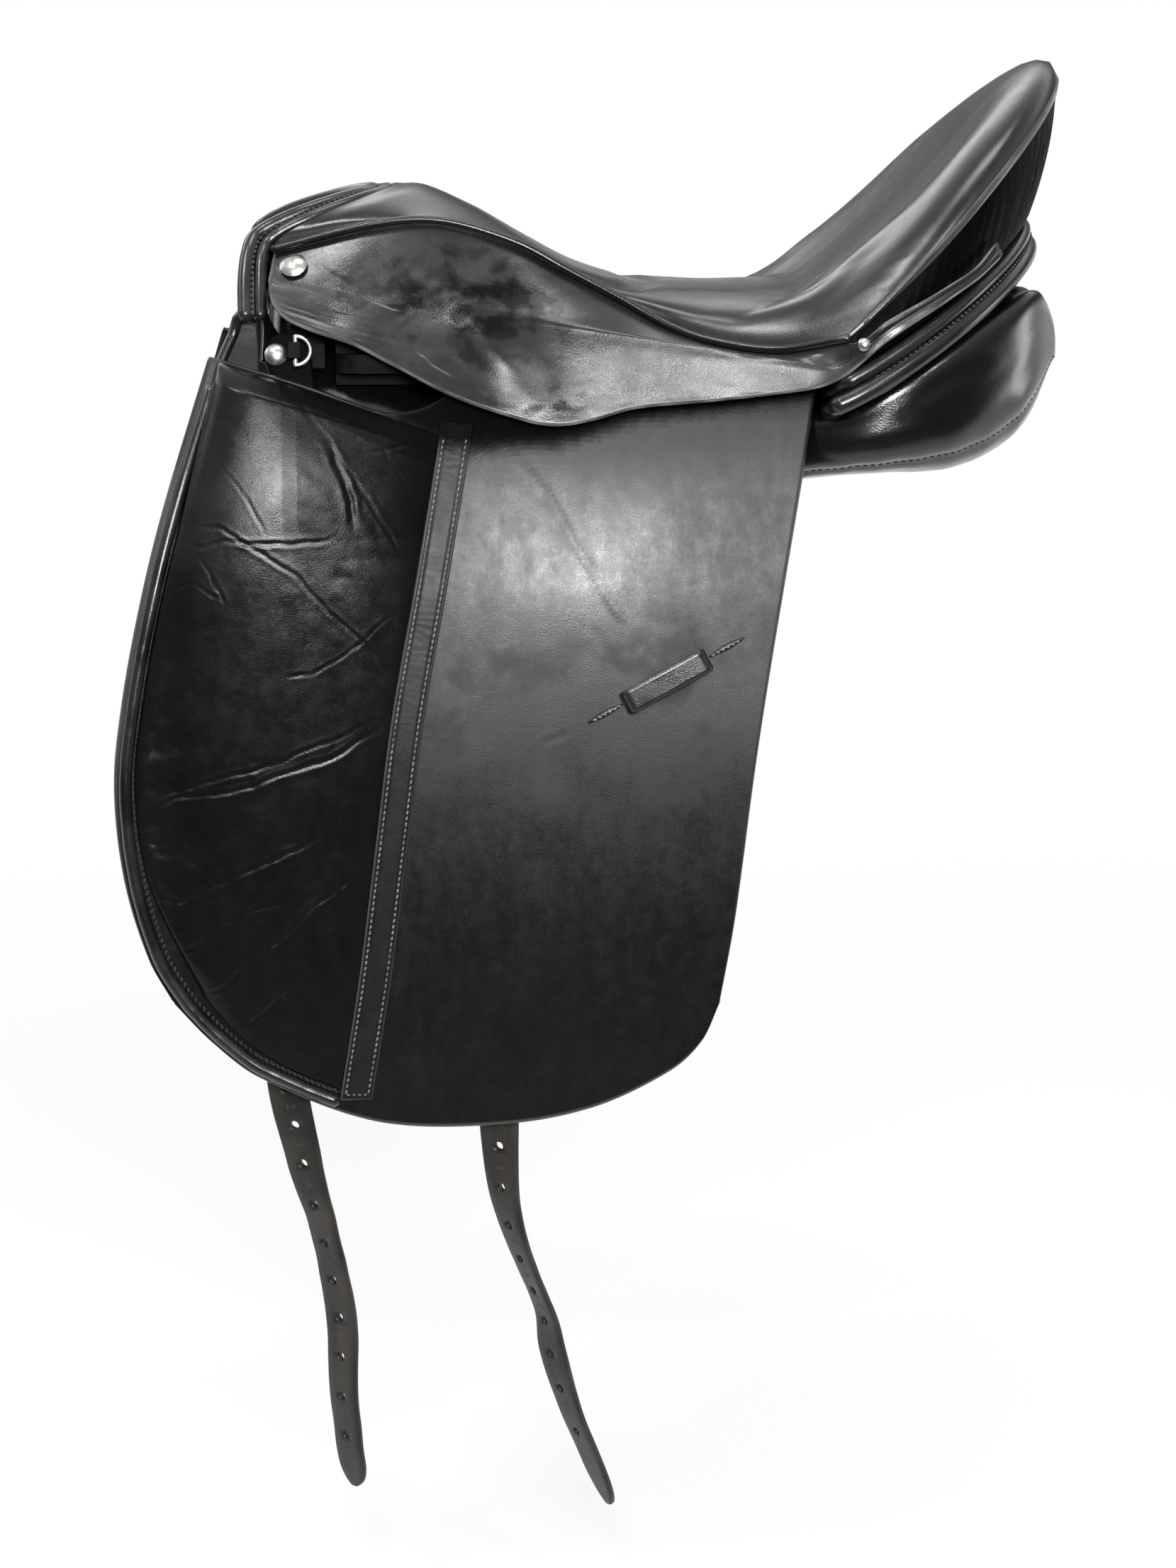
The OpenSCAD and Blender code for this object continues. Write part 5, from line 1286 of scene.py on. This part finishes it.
def make_keepers():
    half, clear, thick, wide, rise = 25.5, 6.5, 2.6, 13.0, math.radians(28)
    x0, z0 = 38.0, -132.0
    lean = math.atan((breadth(np.array(z0 - 15.0)) - breadth(np.array(z0 + 15.0))) / 30)
    bend = 3.7
    mid, top = half - thick / 2, clear + thick / 2
    arc = np.radians(np.linspace(0, 90, 10))
    right = points(mid - bend + bend * np.cos(arc), top - bend + bend * np.sin(arc))
    left = points(bend - mid - bend * np.cos(arc[::-1]), top - bend + bend * np.sin(arc[::-1]))
    across = points(np.linspace(right[-1, 0], left[0, 0], 24)[1:-1], top)
    across[:, 1] += 0.5 * np.sin(np.linspace(0, np.pi, 22))
    path = np.concatenate([[[mid, -0.1], [mid, 1.5]], right, across, left, [[-mid, 1.5], [-mid, -0.1]]])
    d = unit(np.gradient(path, axis=0))
    n = points(d[:, 1], -d[:, 0])
    w = np.linspace(-1, 1, 13)
    edge_round = np.sqrt(np.maximum(0, 1 - np.maximum(0, (np.abs(w) - 0.86) / 0.14) ** 2)) * 0.98 + 0.02
    for side, k in SIDES:
        along_strap = np.array([math.cos(rise), k * -math.sin(rise) * math.sin(lean), math.sin(rise) * math.cos(lean)])
        out = np.array([0, k * math.cos(lean), math.sin(lean)])
        width = np.cross(out, along_strap)
        at = np.array([x0, k * (breadth(np.array(z0)) + 0.3), z0])

        def place(p, lift):
            q = p + n * lift
            return at + q[:, None, :1] * along_strap + q[:, None, 1:] * out + (w * wide / 2)[None, :, None] * width
        upper, lower = (np.stack([place(path, h * e)[:, c] for c, e in enumerate(edge_round)], 1)
                        for h in (thick / 2, -thick / 2))
        verts, faces, edge = solid(upper, lower, 0.3, 1)
        piece("keeper_strap_" + side, verts, faces, TRIM, ("keeper_" + side,), body="flap_" + side,
              slot="strap_leather", wear=patchy(verts, 0.5, 0.5, 0, 9, 5), edge=0.4 * edge)
        rows, ridges = [], []
        for sign in (-1, 1):
            q = np.linspace(half + 1.5, half + 22, 30)
            xz = points(x0 + sign * q * math.cos(rise), z0 + sign * q * math.sin(rise) * math.cos(lean))
            rows.append(stitches(on_flap(xz, 1.2, k), (0, k, 0.2), 2.2, 3.0, 0.55, 0.5))
            swell = 1.5 * np.sin(np.linspace(0.35, 2.9, 30)) + 0.2
            ridges.append(tube(on_flap(xz, 0.35, k), swell, 8, (0, 1, 0), 0.6))
        piece("keeper_stitches_" + side, *joined(rows), PALE_THREAD, body="flap_" + side, slot="strap_leather")
        piece("keeper_seams_" + side, *joined(ridges), FLAP, body="flap_" + side)


# Girth straps

def slot_mid(z):
    return breadth(z) - FLAP_T - SLOT_W / 2


def hang_at(rows, t):
    v = curve(rows, t)
    z = v[..., 1]
    return points(v[..., 0], -(slot_mid(np.maximum(z, -380)) + v[..., 2]), z)


def hang_frame(rows, t):
    """A hanging strap's middle, and its ways across, out of its face and down."""
    d = unit(hang_at(rows, t + 0.004) - hang_at(rows, t - 0.004))
    w = np.radians(curve(rows, t)[..., 3])
    flat = unit(np.cross(points(np.cos(w), -np.sin(w), 0), d))
    return hang_at(rows, t), np.cross(d, flat), flat, d


TOP_T, TIP_T, STRAP_W, STRAP_T = 0.0183, 0.97, 22.0, 3.6
HOLES, HOLE_PITCH, HOLE_R, LAST_HOLE = 10, 24, 2.6, 0.945


def strap_half(t):
    x = np.where(t < TOP_T, 1 - t / TOP_T, np.where(t > TIP_T, (t - TIP_T) / (1 - TIP_T), 0))
    return STRAP_W / 2 * np.maximum(0.22, np.sqrt(np.maximum(0, 1 - x ** 2)))


def strap_solid(centre, across, flat, half):
    w = np.array([-1, -0.97, -0.88, -0.5, 0, 0.5, 0.88, 0.97, 1])
    h = np.array([0.35, 0.72, 0.96, 1, 1, 1, 0.96, 0.72, 0.35]) * STRAP_T / 2
    base = centre[:, None] + across[:, None] * (half[:, None] * w)[..., None]
    return solid(base + flat[:, None] * h[None, :, None], base - flat[:, None] * h[None, :, None], 0.5, 1)


def holed(obj, cutters):
    cutter = shown("cutter", mesh_of("cutter", *joined(cutters)))
    outward(cutter.data)
    cut = obj.modifiers.new("holes", "BOOLEAN")
    cut.object, cut.operation, cut.solver = cutter, "DIFFERENCE", "EXACT"
    done = bpy.data.meshes.new_from_object(evaluated(obj))
    obj.modifiers.clear()
    obj.data = done
    obj.data.shade_smooth()
    bpy.data.objects.remove(cutter)


def make_strap(name, verts, faces, edge, cutters):
    """A girth strap's leather with its punched holes."""
    wear = 0.35 + 0.5 * noise(verts[:, 2] / 18, verts[:, 0] / 7, 3)
    obj = piece(name + "_leather", verts, faces, STRAP, (name,), body=name, slot="strap_leather",
                wear=np.maximum(0, wear), edge=0.12 * edge)
    holed(obj, cutters)


def numeral(text, centre, right, up, out, size):
    """A small stamped number as mesh points and faces."""
    font = bpy.data.curves.new("numeral", "FONT")
    font.body, font.size, font.extrude = text, size, 0.12
    font.align_x, font.align_y = "CENTER", "CENTER"
    font.resolution_u = 3
    obj = shown("numeral", font)
    mesh = bpy.data.meshes.new_from_object(evaluated(obj))
    bpy.data.objects.remove(obj)
    v = np.array([p.co for p in mesh.vertices])
    f = [list(p.vertices) for p in mesh.polygons]
    return centre + v[:, :1] * right + v[:, 1:2] * up + v[:, 2:] * out, f


def make_hanging(name, rows):
    t = np.concatenate([
        np.linspace(0.0004, TOP_T, 8)[:-1], np.linspace(TOP_T, TIP_T, 230), np.linspace(TIP_T, 1, 12)[1:]])

    def ripple(t):
        return 0.35 * noise(t * 46, 0 * t, len(name))

    def spot(h):
        """The strap's frame and ripple at a hole's number, counted from its end."""
        at = np.array([LAST_HOLE - h * HOLE_PITCH / length])
        return [v[0] for v in (*hang_frame(rows, at), ripple(at))]
    centre, across, flat, _ = hang_frame(rows, t)
    sheet = strap_solid(centre + flat * ripple(t)[:, None], across, flat, strap_half(t))
    length = rows[0][2] - rows[-1][2]
    cutters, marks = [], []
    for h in range(HOLES):
        c, a, f, _, _ = spot(h)
        cutters.append(tube([c - f * 7, c, c + f * 7], HOLE_R, 20, tuple(a)))
        c, _, f, d, lift = spot(h + 0.5)
        out = f * (-1 if f[1] > 0 else 1)
        at = c + out * (STRAP_T / 2 + 0.03) + f * lift
        marks.append(numeral(str(HOLES - h), at, d, np.cross(out, d), out, 7.0))
    make_strap(name, *sheet, cutters)
    piece(name + "_numbers", *joined(marks), MARK, body=name, slot="strap_leather")


def make_tucked(name, x, top, end):
    turn_z, turn_r = -300.0, 2.9
    down = np.linspace(top, turn_z, 90)
    up = np.linspace(turn_z, end, 90)
    a = np.radians(np.linspace(0, 180, 14))[1:-1]
    first = points(x, slot_mid(down) - turn_r, down)
    loop = points(x, slot_mid(np.array(turn_z)) - turn_r * np.cos(a), turn_z - turn_r * np.sin(a))
    second = points(x, slot_mid(up) + turn_r, up)
    path = np.concatenate([first, loop, second])
    d = unit(np.gradient(path, axis=0))
    across = np.broadcast_to(np.array([1.0, 0, 0]), d.shape)
    flat = np.cross(across, d)
    length = np.concatenate([[0], np.cumsum(np.linalg.norm(np.diff(path, axis=0), axis=1))])
    edge_place = np.minimum(length, length[-1] - length) / 11
    half = STRAP_W / 2 * np.maximum(0.3, np.sqrt(np.maximum(0, 1 - np.maximum(0, 1 - edge_place) ** 2)))
    cutters = []
    for h in range(HOLES):
        z = end - 32.0 - h * HOLE_PITCH
        y = float(slot_mid(np.array(z))) + turn_r
        cutters.append(tube([(x, y - 2.4, z), (x, y, z), (x, y + 6, z)], HOLE_R, 20))
    make_strap(name, *strap_solid(path, across, flat, half), cutters)


# The camera, the light and the floor

def look(obj, at):
    obj.rotation_euler = (Vector(at) - obj.location).to_track_quat("-Z", "Y").to_euler()


def make_camera():
    azimuth, elevation, far = math.radians(-4), math.radians(12), 1.85
    target = Vector((0, -0.1, -0.2))
    level = math.cos(elevation)
    back = Vector((math.sin(azimuth) * level, -math.cos(azimuth) * level, math.sin(elevation)))
    cam = shown("camera", bpy.data.cameras.new("camera"))
    cam.data.lens, cam.data.sensor_width = 76.49, 36
    cam.location = target + back * far
    look(cam, target)
    scene.camera = cam


def lamp(name, place, at, size, power):
    light = bpy.data.lights.new(name, "AREA")
    light.shape = "RECTANGLE"
    light.size, light.size_y = size
    light.energy = power
    obj = shown(name, light)
    obj.location = place
    look(obj, at)


def ramp(value, rows):
    """A grey level read off rows of place and level, with places from -1 to 1."""
    n = node(value.id_data, "ShaderNodeValToRGB")
    points = n.color_ramp.elements
    n.color_ramp.interpolation = "EASE"
    for e, (place, level) in zip(points, (rows[0], rows[-1])):
        e.position, e.color = place / 2 + 0.5, (level, level, level, 1)
    for place, level in rows[1:-1]:
        points.new(place / 2 + 0.5).color = (level, level, level, 1)
    link(ranged(value, -1, 1, 0, 1), n.inputs["Fac"])
    return n.outputs["Color"]


def axes_of(tree, space):
    axes = node(tree, "ShaderNodeSeparateXYZ")
    link(node(tree, "ShaderNodeTexCoord").outputs[space], axes.inputs[0])
    return axes.outputs


def make_world():
    """Soft room light: dim in front, low down, and white behind the object at the horizon."""
    world = bpy.data.worlds.new("studio")
    scene.world = world
    world.use_nodes = True
    tree = world.node_tree
    axes = axes_of(tree, "Generated")
    front = ramp(axes["Z"], [(-1, 0.05), (0, 0.08), (0.12, 0.2), (0.4, 0.4), (0.7, 0.6), (1, 0.6)])
    back_right = ramp(axes["Z"], [
        (-1, 1), (0.025, 1), (0.1, 0.25), (0.2, 0.1), (0.33, 0.14), (0.46, 0.7), (0.58, 1.3), (0.8, 0.7), (1, 0.5)])
    back_left = ramp(axes["Z"], [
        (-1, 1), (0.025, 1), (0.1, 0.3), (0.2, 0.12), (0.33, 0.5), (0.46, 3.2), (0.58, 2.4), (0.8, 0.9), (1, 0.5)])
    back = blended(ranged(axes["X"], 0.2, -0.15, 0, 1), back_right, back_left)
    sky = blended(ranged(axes["Y"], -0.1, 0.3, 0, 1), front, back)
    link(sky, tree.nodes["Background"].inputs["Color"])


FLOOR_Z = -0.665


def make_floor():
    """Pale floor that keeps the shadow near the object and turns to plain white far behind it."""
    mesh = bpy.data.meshes.new("floor")
    corners = 96
    a = np.linspace(0, 2 * np.pi, corners, endpoint=False)
    ring = points(14 * np.cos(a), 12.0 + 13.8 * np.sin(a), FLOOR_Z)
    mesh.from_pydata(ring.tolist(), [], [list(range(corners))])
    m, tree, shader = material("floor", 0.9, 0.1)
    soft = noise_of(tree, EVEN, 3, 2)
    axes = axes_of(tree, "Object")
    pale = blended(soft, (0.86, 0.86, 0.86), (0.88, 0.88, 0.88))
    shade = ranged(axes["Y"], -0.85, -0.1, 0, 1)
    link(blended(shade, (0.08, 0.08, 0.08), pale), shader.inputs["Base Color"])
    place = ranged(axes["Y"], -4, 4, -1, 1)
    far = ramp(place, [(-1, 0), (-0.2, 0), (-0.03, 0.5), (0.15, 0.75), (0.45, 1), (1, 1)])
    aside = node(tree, "ShaderNodeMath", operation="ABSOLUTE")
    link(axes["X"], aside.inputs[0])
    spread = node(tree, "ShaderNodeMath", operation="MULTIPLY_ADD")
    link(axes["Y"], spread.inputs[0])
    spread.inputs[1].default_value = -0.25
    link(aside.outputs[0], spread.inputs[2])
    far = calc("MULTIPLY", far, ranged(spread.outputs[0], 1.1, 2.2, 1, 0))
    ray = node(tree, "ShaderNodeLightPath")
    seen = calc("ADD", ray.outputs["Is Camera Ray"], ray.outputs["Is Glossy Ray"])
    seen = calc("ADD", seen, ray.outputs["Is Transmission Ray"])
    white = put(node(tree, "ShaderNodeEmission"), Color=(1, 1, 1, 1), Strength=1)
    both = node(tree, "ShaderNodeMixShader")
    link(calc("MULTIPLY", far, seen), both.inputs[0])
    link(shader.outputs[0], both.inputs[1])
    link(white.outputs[0], both.inputs[2])
    link(both.outputs[0], tree.nodes["Material Output"].inputs["Surface"])
    mesh.materials.append(m)
    shown("floor", mesh)


def make_studio():
    scene.view_settings.view_transform = "Standard"
    make_world()
    make_floor()
    lamp("key", (0.15, -2.25, 0.6), (0, -0.13, -0.02), (0.66, 0.52), 41)
    lamp("side", (-0.32, -1.87, 0.95), (0.08, -0.13, 0.04), (0.3, 0.3), 9)
    lamp("front", (-0.8, -0.74, 1.86), (-0.135, -0.08, 0.09), (0.35, 0.35), 11)
    lamp("top", (0.1, -0.15, 1.65), (0.1, -0.1, 0.1), (0.7, 0.4), 6)
    lamp("rim", (0.65, -1.66, 1.3), (0.18, -0.13, 0.1), (0.25, 0.25), 5)
    lamp("rear", (1.97, 0.21, -0.08), (0.2, -0.1, 0.05), (0.5, 0.5), 3.1)


# Nodes that keep their CAD form, by material
NODE_MATERIALS = (
    (WOOD, ("tree_frame", "tree_side_left", "tree_side_right")),
    (SPRING, ("spring_left", "spring_right")),
    (SHADED_STEEL, ("head_plate", "stirrup_bar_left", "stirrup_bar_right", "bar_rivets", "catch_pins", "bar_catch_left",
             "bar_catch_right", "dee_clips")),
    (NICKEL, ("dee_studs", "dee_ring_left", "dee_ring_right", "skirt_badges", "skirt_nails")),
)


def main():
    make_camera()
    make_studio()
    make_seat()
    make_welts()
    make_rolls()
    make_cantle()
    make_panels()
    make_lining()
    make_arch()
    make_sweat_flaps()
    make_skirts()
    make_flaps()
    make_blocks()
    make_strips()
    make_flap_rolls()
    make_keepers()
    make_hanging("billet_front_left", FRONT_HANG)
    make_hanging("billet_rear_left", REAR_HANG)
    make_tucked("billet_front_right", -155.0, 8.7, -20.0)
    make_tucked("billet_rear_right", -44.0, 8.0, -10.0)
    for side, _ in SIDES:
        # The point pockets get the same near-black leather: painted shade under the skirts.
        dressed("point_pocket_" + side, "point_cover_" + side, "saddle", SHADED_GUSSET, 1, 0.0015)
        dressed("girth_webbing_" + side, "girth_web_" + side, "saddle", WEB, 2)
    dressed("seat_webs", "seat_webbing", "saddle", WEB, 1)
    for mat, names in NODE_MATERIALS:
        for place in (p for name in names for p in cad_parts[name].material_slots):
            place.material = mat


main()
